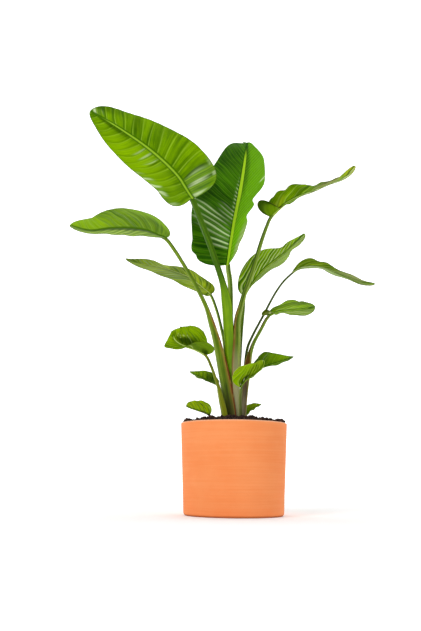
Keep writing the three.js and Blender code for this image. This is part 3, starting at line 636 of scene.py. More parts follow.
# the tall upright leaf behind it
addLeaf("upper_middle", {
    "stalk": [[-4, 0, 172, 3.6, 7.2, 0.12], [-4, 0, 225, 3.6, 7.2, 0.12], [-6, -1.5, 345, 4, 8, 0.12],
        [-7, -3.8, 430, 4.2, 8.4, 0.12], [-7.5, -6.5, 505, 5.2, 9, 0.12], [-10, 0, 560, 6.2, 10],
        [-14, 18, 604, 5.8, 10]],
    "rib": [[-8, 29, 655], [4, 42, 735], [17, 58, 810], [29, 78, 895], [37, 100, 968], [39, 110, 989]],
    "opens": [[0, -1, 0]], "face": [[-0.3, -0.95, 0.1], [-0.3, -0.95, 0.2], [-0.2, -0.95, 0.3]],
    "widths": [[92, 115, 128, 97, 58], [34, 59, 87, 67, 24]], "fold": [[6, 4, 0], [52, 46, 36, 30, 22]],
    "curl": [[-12, -8, -6], [-20, -8, -6]], "skew": [[0, 0, 0, 0, 0, 0, 0, 8, 60], [0]],
    "sweep": [[0.3, 1.5, 0], [0.5, 0.7, 0.1]],
    "nicks": [[1, 0.445, 0.05, 27], [1, 0.32, 0.035, 17], [1, 0.12, 0.03, 6], [-1, 0.2, 0.03, 2],
        [-1, 0.08, 0.02, 6], [-1, 0.985, 0.008, 16]],
    "rows": 260, "columns": 40, "veinSpacing": 12, "pleat": 0.7, "kind": "dark",
    "paint": {"sunlit": (112, 178, 2), "lines": 0.5, "creases": 0.5, "pale": (206, 230, 170), "least": 0.1,
        "light": (74, 132, 2)},
    "patches": {
        "pale": [[-1, 0.15, 0.25, 0.03, 0.3, 0.8], [-1, 0.22, 0.45, 0.035, 0.5, 0.9],
            [-1, 0.29, 0.6, 0.03, 0.4, 1], [-1, 0.36, 0.2, 0.05, 0.2, 0.5],
            [-1, 0.5, 0.06, 0.16, 0.06, 0.6], [1, 0.1, 0.9, 0.07, 0.25, 0.35],
            [1, 0.46, 0.92, 0.02, 0.12, 0.9]],
        "dark": [[-1, 0.42, 0.9, 0.1, 0.3, 0.6], [-1, 0.75, 0.6, 0.2, 0.6, 0.35],
            [1, 0.8, 0.1, 0.3, 0.2, 0.5]],
        "sunlit": [[1, 0.5, 0.5, 0.55, 1.2, 0.75], [1, 0.12, 0.6, 0.14, 0.7, 0.9]],
        "grey": [[1, 0.1, 0.9, 0.1, 0.3, 0.6]],
    },
})

# the long leaf that reaches to the far left
addLeaf("middle_left", {
    "stalk": [[-7.5, 0, 172, 15, 25, 0.88], [-7.5, 0, 225, 15, 25, 0.88], [-17.5, -1, 290, 14.8, 26, 0.88],
        [-28.5, -3, 345, 14, 24, 0.85], [-43, -9, 408, 11, 18.5, 0.78], [-56, -14, 450, 8, 14.5, 0.62],
        [-67, -17, 483, 5.5, 10, 0.3], [-80, -19, 512, 4.5, 9, 0.12], [-105, -24, 558, 4.2, 8.5],
        [-128, -28, 596, 4], [-149, -32, 628, 4], [-170, -36, 654, 4]],
    "rib": [[-194, -40, 666], [-218, -44, 674], [-255, -48, 677], [-303, -54, 674], [-355, -58, 667],
        [-403, -60, 679]],
    "opens": [[1, 0, 0], [1, 0, 0], [0.9, -0.3, 0.2]],
    "face": [[0.6, -0.65, 0.6], [0, -0.75, 0.66], [0, -0.7, 0.7]],
    "widths": [[28, 62, 66, 50, 30], [48, 79, 99, 72, 37]], "fold": [[14, 15, 23], [14, 8, 12]],
    "curl": [[0], [-10, -10, -10]], "lobe": [0, 10], "skew": [[0], [0, 0, 0, -6, 0, 0]],
    "wave": [[5, 0.8, 0], [2, 1, 0]], "sweep": [[0.4, 0.7, 0.2], [0.4, 0.7, 0.15]], "rows": 180,
    "veinSpacing": 19, "pleat": 0.8, "kind": "young",
    "paint": {"pale": (186, 214, 96), "rib": (64, 96, 8), "thin": 0.85, "deep": (70, 108, 0),
        "light": (118, 154, 4), "lines": 0.45, "creases": 0.25, "line": (160, 196, 70)},
    "stem": {"dark": (58, 90, 2), "bright": (116, 144, 18), "edges": 1, "litSideStrength": 0.3,
        "foot": (58, 52, 22), "lowest": 1, "low": 0.28, "bands": 0.9},
    "patches": {
        "pale": [[1, 0.075, 0.5, 0.006, 0.5, 0.7], [1, 0.15, 0.5, 0.007, 0.5, 0.9],
            [1, 0.24, 0.5, 0.006, 0.5, 0.9], [1, 0.33, 0.5, 0.005, 0.4, 0.4],
            [-1, 0.45, 0.7, 0.4, 0.5, 0.6]],
        "dark": [[1, 0.12, 0.5, 0.012, 0.5, 0.35], [1, 0.21, 0.5, 0.012, 0.5, 0.35],
            [-1, 0.4, 0.12, 0.4, 0.14, 0.8]],
        "sunlit": [[1, 0.8, 0.5, 0.3, 0.7, 0.6], [1, 0.1, 0.9, 0.1, 0.2, 0.5]],
    },
})

# the narrow leaf below and behind it
addLeaf("lower_left", {
    "stalk": [[-11, 23, 172, 3.4], [-11, 23, 225, 3.4], [-14, 22, 290, 3.4], [-19, 20, 345, 3.4],
        [-25, 18, 410, 3.3], [-36, 20, 462, 3.2], [-46, 25, 498, 3.2], [-59, 32, 531, 3.2]],
    "rib": [[-83, 40, 557], [-115, 48, 583], [-149, 56, 599], [-185, 64, 612], [-228, 72, 622],
        [-282, 82, 641]],
    "opens": [[1, -0.2, 0]], "face": [[0.3, -0.7, 0.7], [0, -0.66, 0.75], [0, -0.66, 0.75]],
    "widths": [[22, 44, 42, 26, 12], [22, 29, 31, 29, 7]],
    "fold": [[4, 4, 4], [60, 30, 12, 10, 6, -8, 10, 20, 16]], "curl": [[-10, -10, -10]] * 2,
    "lobe": [20, 10], "sweep": [[1, 1.6, 0.2]] * 2, "rows": 170, "columns": 26, "veinSpacing": 17,
    "pleat": 0.8, "kind": "young",
    "paint": {"deep": (78, 112, 2), "light": (184, 206, 44), "ribShade": 0.3, "rib": (190, 206, 120),
        "line": (178, 202, 84), "thin": 0.66, "least": 0.4},
    "patches": {
        "dark": [[1, 0.03, 0.7, 0.07, 0.6, 0.5], [-1, 0.4, 0.1, 0.4, 0.12, 0.3]],
        "pale": [[-1, 0.5, 0.6, 0.35, 0.5, 0.4], [1, 0.75, 0.4, 0.12, 0.4, 0.3]],
    },
})

# the long pointed leaf on the right
addLeaf("upper_right", {
    "stalk": [[6, 0, 172, 10.5, 18, 0.8], [6, 0, 225, 10.5, 18, 0.8], [5, -1.5, 290, 10.8, 18, 0.8],
        [5, -2, 345, 11, 21, 0.8], [7, -3.5, 408, 10.8, 18, 0.78], [8.5, -6, 462, 8.6, 14.5, 0.7],
        [17, -9, 495, 6, 12, 0.3], [24, -12, 520, 5.5, 11, 0.12], [38, -16, 560, 5.2, 10.5],
        [53, -22, 607, 4.8, 9.5], [67, -28, 655, 4.2, 8.5], [80, -34, 692, 3.8, 7.5], [89, -38, 712, 3.6]],
    "rib": [[119, -46, 742], [153, -52, 762], [190, -58, 776], [230, -64, 791], [265, -69, 806],
        [294, -74, 837]],
    "opens": [[-1, 0, 0], [-1, 0, 0], [-0.8, -0.4, 0.3]],
    "face": [[-0.4, -0.65, 0.65], [0, -0.54, 0.84], [0, -0.57, 0.82]],
    "widths": [[29, 38, 29, 19, 10], [52, 24, 12, 16, 16]],
    "fold": [[50, 54, 54, 50, 26, 14, 12, 12, 18],
        [104, 102, 80, 24, 6, 4, 4, 4, 4, 4, 5, 6, 7, 8, 9, 10, 12]],
    "lobe": [-12, 17], "wave": [[7, 2, -1], [3, 1.5, 1.5]], "sweep": [[1.3, 2.2, 0.2], [1, 1.5, 0.2]],
    "nicks": [[1, 0.14, 0.04, 46], [-1, 0.16, 0.03, 3], [-1, 0.27, 0.035, 6], [-1, 0.52, 0.05, 6]],
    "rows": 190, "columns": 30, "veinSpacing": 24, "pleat": 1.2,
    "paint": {"deep": (48, 88, 0), "light": (146, 190, 10), "under": (96, 130, 18), "thin": 0.6,
        "core": 0.4, "rib": (164, 190, 80), "edge": (92, 80, 36), "sunlit": (172, 184, 44),
        "grey": (142, 140, 84), "least": 0.45, "line": (168, 204, 76)},
    # the inner side of this stalk is dark green, painted shade in its channel
    "stem": {"litSide": 1, "foot": (192, 182, 144), "edges": 0.7, "inner": (48, 74, 4), "litSideStrength": 0.6,
        "low": 0.36, "lowest": 0.75, "band": (132, 92, 40), "bands": 0.9},
    "patches": {
        "pale": [[1, 0.6, 0.5, 0.35, 0.8, 0.8]],
        "dark": [[1, 0.02, 0.95, 0.13, 0.38, 0.85], [-1, 0.55, 0.8, 0.12, 0.4, 0.6],
            [-1, 0.3, 0.3, 0.06, 0.6, 0.4], [-1, 0.08, 0.7, 0.06, 0.5, 0.4]],
        "sunlit": [[-1, 0.93, 0.5, 0.12, 1, 1], [1, 0.93, 0.5, 0.12, 1, 1], [-1, 0.1, 0.3, 0.08, 0.3, 0.4]],
        "grey": [[-1, 0.62, 0.5, 0.14, 0.9, 0.8], [1, 0.6, 0.5, 0.25, 0.9, 0.6]],
    },
})

# the ribbed leaf behind its stalk
addLeaf("middle_right", {
    "stalk": [[9, 21, 172, 3.5], [9, 21, 225, 3.5], [11, 22, 290, 3.6, 7], [15, 22, 354, 4.2, 8],
        [19, 23, 430, 4.4, 8], [24, 25, 490, 4.4, 8], [28, 28, 528, 4]],
    "rib": [[54, 38, 573], [76, 44, 602], [102, 50, 626], [126, 56, 648], [150, 62, 672], [186, 72, 712]],
    "opens": [[-0.7, -0.7, 0]], "face": [[-0.3, -0.9, 0.3], [-0.1, -0.9, 0.4], [-0.1, -0.9, 0.4]],
    "widths": [[28, 46, 46, 22, 6], [26, 40, 44, 24, 15]],
    "fold": [[10, 12, 14, 10, 0], [65, 50, 38, 34, 26, 14]], "sweep": [[2.6, 3.2, 0.1], [2.2, 2.8, 0.1]],
    "nicks": [[-1, 0.69, 0.08, 10], [1, 0.72, 0.07, 9]], "rows": 170, "columns": 30, "veinSpacing": 22,
    "pleat": 1, "kind": "young",
    "paint": {"pale": (200, 220, 136), "line": (212, 230, 146), "thin": 0.5, "lines": 1, "creases": 1,
        "least": 0.6, "deep": (48, 92, 0), "light": (150, 190, 18)},
    "patches": {
        "pale": [[1, 0.4, 0.6, 0.4, 0.5, 0.3], [-1, 0.6, 0.15, 0.2, 0.2, 0.4],
            [1, 0.85, 0.5, 0.15, 0.8, 0.4]],
        "sunlit": [[-1, 0.15, 0.8, 0.15, 0.3, 0.5], [-1, 0.84, 0.5, 0.12, 0.8, 0.7]],
    },
})

# the leaf that arches to the far right
addLeaf("far_right", {
    "stalk": [[24, 4, 172, 3.2, 6], [24, 4, 225, 3.2, 6], [24.5, 5, 290, 3.2, 6], [28, 7, 354, 3.2, 6],
        [34, 9, 395, 3], [46, 12, 424, 2.8, 5.5], [74, 17, 478, 2.6, 5], [103, 23, 534, 2.4, 4.6],
        [126, 28, 568, 2.3, 4.4], [149, 32, 591, 2.3, 4.4]],
    "rib": [[168, 34, 605], [192, 36, 611], [226, 39, 609], [262, 41, 597], [300, 44, 583], [330, 46, 573],
        [360, 48, 571]],
    "opens": [[-1, 0, 0]], "face": [[-0.3, -0.6, 0.7], [0, -0.57, 0.82], [0, -0.57, 0.82]],
    "widths": [[9, 27, 15, 12, 5], [9, 24, 27, 27, 20]], "fold": [[20, 36, 26, 26, 20], [10, 9, 1, 2, 0]],
    "sweep": [[2.2, 4, 0.2]] * 2, "nicks": [[-1, 0.33, 0.05, 7]], "rows": 160, "columns": 22,
    "veinSpacing": 18, "pleat": 0.8, "kind": "young",
    "paint": {"deep": (52, 88, 2), "light": (136, 166, 22), "under": (140, 152, 78), "core": 0.4,
        "rib": (170, 184, 110), "cover": 0.5, "edge": (70, 78, 26), "edges": 0.9},
    "stem": {"dark": (34, 44, 8), "bright": (62, 80, 16), "pale": (110, 130, 50), "litSide": 1},
    "patches": {
        "dark": [[-1, 0.1, 0.6, 0.12, 0.5, 0.4], [1, 0.49, 0.5, 0.008, 0.7, 0.8],
            [-1, 0.42, 0.9, 0.03, 0.4, 0.6], [-1, 0.95, 0.6, 0.06, 0.8, 0.5]],
        "pale": [[1, 0.2, 0.5, 0.2, 0.6, 0.7]],
        "grey": [[-1, 0.68, 0.5, 0.2, 0.9, 0.9], [1, 0.68, 0.5, 0.12, 0.7, 0.5]],
        "sunlit": [[1, 0.85, 0.5, 0.12, 0.8, 0.4]],
    },
})

# the short leaf below it, in front
addLeaf("lower_right", {
    "stalk": [[22.5, -7, 172, 8, 8, 0.4], [22.5, -7, 225, 8, 9, 0.45], [28, -9, 290, 8, 9, 0.5],
        [33, -10.5, 330, 9, 9, 0.5], [36, -12, 358, 9.5, 9, 0.45], [41, -14, 382, 6.8, 8, 0.2],
        [49, -18, 405, 6.4, 7.5, 0.12], [65, -23, 434, 5, 7], [82, -28, 463, 3.8, 6]],
    "rib": [[102, -34, 474], [128, -39, 477], [152, -44, 478], [174, -49, 480], [191, -52, 484]],
    "opens": [[-0.5, -0.85, 0], [-0.5, -0.85, 0], [-0.6, -0.8, 0], [-0.9, -0.4, 0], [-1, 0, 0]],
    "face": [[-0.3, -0.6, 0.7], [0, -0.77, 0.64], [0, -0.77, 0.64]],
    "widths": [[9, 23, 43, 34, 20], [18, 10, 17, 25, 15]],
    "fold": [[70, 20, 8, 5, 2, 0], [138, 118, 20, 6, 5, 5, 4, 4, 3, 3, 2, 1, 0]],
    "curl": [[0, -10, -10]] * 2, "lobe": [0, 24], "wave": [[3, 1.2, 0], [3, 1.5, 1.5]],
    "sweep": [[2.2, 2.8, 0.2], [2, 2.4, 0.2]], "nicks": [[-1, 0.66, 0.05, 4]], "rows": 120, "columns": 24,
    "veinSpacing": 18, "pleat": 0.9,
    "paint": {"deep": (44, 86, 0), "light": (134, 172, 14), "line": (190, 214, 116), "thin": 0.62,
        "lines": 0.9, "least": 0.3, "pale": (196, 214, 136), "under": (66, 70, 22)},
    "stem": {"litSide": 1, "edge": (150, 110, 50), "edges": 1, "foot": (140, 134, 106),
        "inner": (104, 50, 8), "low": 0.3, "lowest": 0.95},
    "patches": {
        "pale": [[1, 0.4, 0.6, 0.4, 0.5, 0.5], [-1, 0.3, 0.15, 0.25, 0.15, 0.4],
            [1, 0.03, 0.2, 0.05, 0.4, 0.7]],
        "sunlit": [[-1, 0.5, 0.3, 0.3, 0.3, 0.5]], "dark": [[-1, 0.15, 0.8, 0.3, 0.4, 0.35]],
    },
})

# the cupped leaf low on the left
addLeaf("low_left", {
    "stalk": [[-23, -21, 172, 7.5, 6, 0.15], [-23, -21, 225, 7.5, 6, 0.15], [-31.5, -22, 262, 7.8, 6, 0.15],
        [-38.5, -22, 294, 6, 6, 0.12], [-46.5, -25, 317, 3.5, 6], [-56, -32, 342, 3], [-68, -41, 364, 3]],
    "rib": [[-91, -50, 376], [-123, -58, 385], [-140, -64, 397], [-148, -68, 418]],
    "opens": [[0.3, 0.9, 0], [0.6, 0.3, 0.5]],
    "face": [[0.4, -0.2, 0.85], [0.3, -0.4, 0.85], [0.35, -0.6, 0.5]],
    "widths": [[31, 37, 33, 31, 9], [33, 55, 59, 31, 20]],
    "fold": [[60, 52, 30, -12, -30], [70, 62, 60, 62, 70]], "curl": [[0], [-20, -20, -20]],
    "lobe": [14, -14], "skew": [[0, 0, -4, -2, -4, -8], [0, -3, -3, 8, 22, 11]],
    "sweep": [[0.6, 1, 0.3]] * 2, "nicks": [[-1, 0.81, 0.035, -11]], "veinSpacing": 15, "pleat": 1,
    "paint": {"under": (96, 130, 30), "deep": (54, 92, 0), "light": (146, 178, 14), "rib": (196, 220, 116),
        "core": 0.3, "ribShade": 0.5, "pale": (190, 214, 110)},
    "stem": {"dark": (56, 70, 6), "bright": (148, 156, 20), "foot": (142, 146, 20), "lowest": 0.7,
        "litSideStrength": 0.5},
    "patches": {
        "dark": [[1, 0.45, 0.26, 0.4, 0.2, 0.85], [-1, 0.04, 0.2, 0.1, 0.25, 0.8]],
        "pale": [[1, 0.55, 0.52, 0.3, 0.06, 1], [1, 0.68, 0.4, 0.14, 0.04, 0.9],
            [1, 0.3, 0.5, 0.02, 0.3, 0.5], [-1, 0.36, 0.3, 0.1, 0.4, 0.6]],
        "sunlit": [[1, 0.4, 0.85, 0.5, 0.3, 0.6], [-1, 0, 0.8, 0.12, 0.35, 0.9],
            [-1, 0.75, 0.6, 0.2, 0.4, 0.4]],
    },
})

# the small leaf behind its stalk
addLeaf("small_left", {
    "stalk": [[-27, -6, 172, 2.8, 5.5], [-27, -6, 225, 2.8, 5.5], [-33.5, -3, 262, 2.8, 5.5],
        [-37.5, 0, 284, 2.6], [-41, 5, 301, 2.4]],
    "rib": [[-60, 14, 311], [-83, 22, 323], [-108, 30, 337]],
    "face": [[0.3, -0.5, 0.8], [0, -0.56, 0.83], [0, -0.56, 0.83]],
    "widths": [[12, 22, 24, 15, 5], [14, 24, 26, 16, 5]], "fold": [[26, 26, 20]] * 2, "rows": 90,
    "columns": 16, "veinSpacing": 13, "kind": "young",
    "paint": {"lines": 0.3, "deep": (60, 102, 4), "light": (144, 180, 22), "least": 0},
    "patches": {
        "sunlit": [[1, 0.02, 0.4, 0.12, 0.8, 0.8], [-1, 0.02, 0.4, 0.12, 0.8, 0.5]],
        "dark": [[1, 0.2, 0.3, 0.25, 0.4, 0.5], [-1, 0.2, 0.4, 0.35, 0.5, 0.55]],
    },
})

# the small leaf in front on the right
addLeaf("small_front", {
    "stalk": [[16.5, -19, 172, 3.6, 5], [16.5, -19, 225, 3.6, 5], [15.5, -25, 245, 3.5, 5],
        [14.5, -31, 267, 3.3, 5], [17, -38, 290, 2.8, 5]],
    "rib": [[24, -44, 303], [43, -53, 317], [62, -62, 333], [69, -66, 350]], "opens": [[-0.3, -1, 0]],
    "face": [[-0.5, -0.85, 0.2], [-0.5, -0.85, 0.1], [-0.5, -0.85, 0.1]],
    "widths": [[27, 36, 30, 22, 15], [16, 24, 22, 16, 8]], "fold": [[22, 20, 10], [60, 60, 50]],
    "sweep": [[1.4, 2, 0.3], [1, 1.6, 0.3]], "rows": 120, "columns": 28, "kind": "young",
    "paint": {"deep": (74, 108, 0), "light": (164, 196, 14), "dark": (26, 44, 2), "pale": (214, 226, 172),
        "edge": (176, 204, 70)},
    "patches": {
        "dark": [[-1, 0.1, 0.12, 0.3, 0.16, 0.9], [1, 0.3, 0.3, 0.4, 0.5, 0.6],
            [-1, 0.3, 0.55, 0.05, 0.3, 0.4]],
        "pale": [[1, 0.5, 0.7, 0.05, 0.2, 0.6], [1, 0.3, 0.6, 0.04, 0.2, 0.6],
            [-1, 0.06, 0.15, 0.025, 0.08, 0.9], [-1, 0.17, 0.13, 0.02, 0.06, 0.9],
            [-1, 0.27, 0.11, 0.015, 0.05, 0.8], [-1, 0.97, 0.7, 0.06, 0.5, 0.8],
            [1, 0.95, 0.5, 0.08, 0.6, 0.8]],
        "sunlit": [[-1, 0, 0.8, 0.3, 0.4, 0.7]],
    },
})

# the small leaf behind it
addLeaf("small_right", {
    "stalk": [[22, 13, 172, 2.8, 5.5], [22, 13, 225, 2.8, 5.5], [26, 14, 270, 2.7], [33, 18, 313, 2.6],
        [42, 22, 339, 2.5]],
    "rib": [[73, 26, 349], [104, 30, 359], [127, 34, 368], [149, 38, 378]], "opens": [[-1, 0, 0]],
    "face": [[-0.3, -0.55, 0.8], [0, -0.57, 0.82], [0, -0.57, 0.82]],
    "widths": [[12, 34, 43, 24, 7], [14, 34, 34, 20, 8]], "fold": [[25, 25, 20]] * 2,
    "sweep": [[0.8, 1.2, 0.2]] * 2, "rows": 110, "columns": 24, "veinSpacing": 14,
    "paint": {"deep": (44, 82, 0), "light": (116, 156, 6), "least": 0},
    "patches": {
        "pale": [[-1, 0.2, 0.6, 0.035, 0.6, 0.35]],
        "dark": [[-1, 0.1, 0.4, 0.12, 0.8, 0.4], [1, 0.35, 0.2, 0.3, 0.2, 0.35]],
        "sunlit": [[-1, 0.6, 0.6, 0.3, 0.5, 0.4]],
    },
})

# the two seedling leaves at the soil
addLeaf("seedling_left", {
    "stalk": [[-58, -41, 190, 2.4], [-58, -41, 214, 2.4], [-59, -42, 225, 2.2]],
    "rib": [[-72, -47, 231], [-88, -54, 235], [-102, -60, 239], [-112, -64, 243]], "opens": [[1, 0, 0.2]],
    "face": [[0.2, -0.5, 0.8], [0, -0.54, 0.84], [0, -0.54, 0.84]],
    "widths": [[18, 22, 20, 15, 10], [28, 32, 30, 24, 16]], "fold": [[27, 27, 20]] * 2, "lobe": [0, -6],
    "rows": 90, "columns": 20, "veinSpacing": 9, "kind": "young",
    "paint": {"lines": 0.4, "light": (162, 190, 10)},
})

addLeaf("seedling_right", {
    "stalk": [[26, 24, 190, 1.8], [26, 24, 214, 1.8], [27, 25, 227, 1.8]],
    "rib": [[40, 28, 243], [54, 31, 252], [68, 34, 259]], "opens": [[-1, 0, 0]],
    "face": [[-0.3, -0.5, 0.8], [0, -0.54, 0.84], [0, -0.54, 0.84]],
    "widths": [[8, 14, 16, 12, 5], [8, 12, 13, 9, 4]], "fold": [[28, 28, 20]] * 2, "rows": 60,
    "columns": 12, "veinSpacing": 6, "pleat": 0.1, "kind": "young",
    "paint": {"lines": 0.3, "deep": (104, 140, 4), "light": (156, 186, 14)},
})


# the pot; its profile goes up the outside, over the lip and down the inside
pot = {
    "height": 210, "rimRadius": 125, "footRadius": 116, "baseRadius": 110, "footRise": 8,
    "wall": 11, "floor": 14, "lip": 2.5, "bevel": 3,  # the bevel is where the inner wall meets the floor
    "sides": 192, "rows": 140, "cornerSteps": 8, "centre": 1,  # grid, and the radius of the innermost ring
    "marks": 0.12, "marksSpacing": 6, "marksDrift": [1.5, 17],  # turning marks: depth, spacing, unevenness
    "marksFull": [30, 190],  # between which heights they are full
    # the lip's paler tint is a painted highlight, and the foot's dark one a painted shadow
    "deep": (252, 144, 82), "light": (255, 156, 96), "lipHighlight": (255, 192, 152), "pores": (206, 104, 58),
    "footShadow": (150, 76, 42),
}

# the soil; a mound of clumps inside the wall, with crumbs lying on it
soil = {
    "edge": 208.5, "crown": 219.5, "bottom": 14.5, "rings": 110, "sides": 300, "gap": 0.4,
    "shoulder": 3, "bevel": [3, 2.5, 5],  # drop at the wall; at the bottom the inset, and the step out and up
    "dome": 2.5, "clumps": 260, "clumpSize": [4, 9], "clumpHeight": [1, 6], "clumpSpan": [0.02, 1],
    "crumbs": [420, 110],  # those strewn over it, and those heaped against the rim at both sides
    "crumbSize": [1.6, 5.5], "crumbGrid": [8, 5], "clumpSeed": 11, "crumbSeed": 7,
    "stemClear": 30, "wallClear": 5,  # how far the strewn ones keep from the middle and from the wall
    "heapSpan": [-22, 50], "heapReach": [106, 119.5],  # degrees round the pot, and how far out
    "smaller": [0.9, 2.2], "lie": [0.6, 0.35], "rimRise": 1,  # pairs are for those on the rim and the others
    "squeeze": [0.65, 1.25], "rough": 0.22,
    "deep": (30, 20, 18), "light": (72, 50, 40), "grains": (108, 80, 62),
}


# part of an ellipse between two angles in degrees, as rows of radius and height
def roundCorner(centre, radius, first, last, steps=pot["cornerSteps"]):
    turn = np.radians(np.linspace(first, last, steps + 1))
    return np.stack([centre[0] + radius[0] * np.cos(turn), centre[1] + radius[1] * np.sin(turn)], axis=1)


# points and faces of a closed shape from rings of points (rings x sides x 3) and a point below and above them
def closedRings(ring, below, above):
    rings, sides = ring.shape[:2]
    j, after = np.arange(sides), np.roll(np.arange(sides), -1)
    low, top = np.full(sides, rings * sides), (rings - 1) * sides
    ends = [np.stack([after, j, low], axis=1), np.stack([j + top, after + top, low + 1], axis=1)]
    return np.vstack([ring.reshape(-1, 3), below, above]), [ringQuads(rings, sides), *ends]


# a profile of radius and height turned round the upright axis
def turnedRings(profile, sides):
    turn = np.arange(sides) * 2 * np.pi / sides
    x, y = profile[:, :1] * np.cos(turn), profile[:, :1] * np.sin(turn)
    return np.stack([x, y, np.broadcast_to(profile[:, 1:], x.shape)], axis=2)


# outer radius of the pot's wall, which widens evenly from the foot to the rim
def wallRadius(height):
    p = pot
    widening = (p["rimRadius"] - p["footRadius"]) * (height - p["footRise"]) / (p["height"] - p["footRise"])
    return p["footRadius"] + widening


# Fired clay: fine level marks of turning, faint clouds, a painted highlight along the lip, pores and a
# painted shadow line under the foot
def clayMaterial():
    material, wire = newMaterial("terracotta")
    keys = ("deep", "light", "lipHighlight", "pores", "footShadow")
    deep, light, lip, pores, foot = (tint(*pot[key]) for key in keys)
    place, height = wire.place(), wire.placeAlong("Z")
    stretched = wire.node("ShaderNodeMapping", {}, {"Vector": place, "Scale": (6.0, 6.0, 220.0)})
    marks = wire.noise(stretched, 1.0, 3.0)
    cloud = wire.noise(place, 11.0, 4.0, 0.6)
    grain = wire.noise(place, 700.0, 2.0)
    level = cloud.step(0.3, 0.7) * 0.6 + marks.step(0.35, 0.65) * 0.4
    colour = coated(level.mix(deep, light), [
        # painted highlight along the rounded lip
        (height.step(0.206, 0.2098) * 0.9, lip),
        (grain.step(0.6, 0.75) * 0.12, pores),
        # painted shadow: a dark line along the bottom, where the foot meets the floor
        ((1 - height.step(0.0005, 0.006)) * 0.75, foot),
    ])
    finishMaterial(wire, {
        "Base Color": colour, "Roughness": 0.72 + grain * 0.15, "Specular IOR Level": 0.25,
    }, marks * 0.0003 + grain * 0.00012)
    return material


# Potting soil: dark brown-purple with lighter brown grains
def soilMaterial():
    material, wire = newMaterial("soil")
    deep, light, grains = (tint(*soil[key]) for key in ("deep", "light", "grains"))
    place = wire.place()
    clump = wire.noise(place, 90.0, 4.0, 0.65)
    grain = wire.noise(place, 420.0, 3.0, 0.6)
    colour = coated(clump.step(0.35, 0.7).mix(deep, light), [(grain.step(0.55, 0.72) * 0.5, grains)])
    finishMaterial(wire, {
        "Base Color": colour, "Roughness": 0.9, "Specular IOR Level": 0.25,
    }, clump * 0.002 + grain * 0.001)
    return material


# The pot: a profile turned round, with marks on its wall that are a sine of the height, rounded foot and lip
def addPot():
    p = pot
    rise, floor, centre, level = p["footRise"], p["floor"], p["centre"], p["height"] - p["lip"]
    heights = np.linspace(rise, level, p["rows"])
    uneven, drift = p["marksDrift"]
    marks = np.sin(2 * np.pi * heights / p["marksSpacing"] + uneven * np.sin(heights / drift))
    lowFull, highFull = p["marksFull"]
    fade = np.minimum(smoothStep(rise, lowFull, heights), smoothStep(level, highFull, heights))
    outside = np.stack([wallRadius(heights) + p["marks"] * marks * fade, heights], axis=1)
    foot = roundCorner((p["baseRadius"], rise), (p["footRadius"] - p["baseRadius"], rise), -90, 0)
    lip, rim = (p["lip"], p["lip"]), wallRadius(level)
    outerLip = roundCorner((rim - p["lip"], level), lip, 0, 90)
    innerLip = roundCorner((rim - p["wall"] + p["lip"], level), lip, 90, 180)
    inner = p["footRadius"] - p["wall"]
    inside = [[inner, floor + p["bevel"]], [inner - p["bevel"], floor], [inner / 2, floor], [centre, floor]]
    base = [[centre, 0], [p["baseRadius"] / 2, 0]]
    profile = np.vstack([base, foot, outside[1:-1], outerLip, innerLip, inside])
    points, faces = closedRings(turnedRings(profile, p["sides"]), [[0, 0, 0]], [[0, 0, floor]])
    addPiece("planter", points, faces, {}, clayMaterial(), ["pot"])


# how far out the soil goes at a height
def soilReach(height):
    return wallRadius(height) - pot["wall"] - soil["gap"]


# the soil's level: a mound with round clumps seeded over it
def soilLevel(x, y):
    s, count = soil, soil["clumps"]
    reach = soilReach(s["edge"])
    level = s["edge"] + (s["crown"] - s["edge"]) * (1 - np.clip(np.hypot(x, y) / reach, 0, 1) ** s["dome"])
    spots = np.random.default_rng(s["clumpSeed"])
    angle, out = spots.uniform(0, 2 * np.pi, count), reach * np.sqrt(spots.uniform(*s["clumpSpan"], count))
    size, high = (spots.uniform(*s[key], count) for key in ("clumpSize", "clumpHeight"))
    far = (x[..., None] - out * np.cos(angle)) ** 2 + (y[..., None] - out * np.sin(angle)) ** 2
    return level + np.max(high * np.exp(-far / size ** 2), axis=-1)


# The soil as one closed form: its bottom, its side and the rings of its level
def addSoil(material):
    s, low, centre = soil, soil["bottom"], pot["centre"]
    reach = soilReach(s["edge"])
    inset, stepOut, stepUp = s["bevel"]
    foot = soilReach(low) - inset
    wall = [[foot + stepOut, low + stepUp], [reach, s["edge"] - s["shoulder"]]]
    level = np.stack([np.linspace(reach, centre, s["rings"]), np.full(s["rings"], s["edge"])], axis=1)
    ring = turnedRings(np.vstack([[[centre, low], [foot / 2, low], [foot, low]], wall, level]), s["sides"])
    top = ring[-s["rings"]:]
    top[..., 2] = soilLevel(top[..., 0], top[..., 1])
    crown = soilLevel(np.zeros(1), np.zeros(1))[0]
    points, faces = closedRings(ring, [[0, 0, low]], [[0, 0, crown]])
    addPiece("potting_soil", points, faces, {}, material, ["soil"])


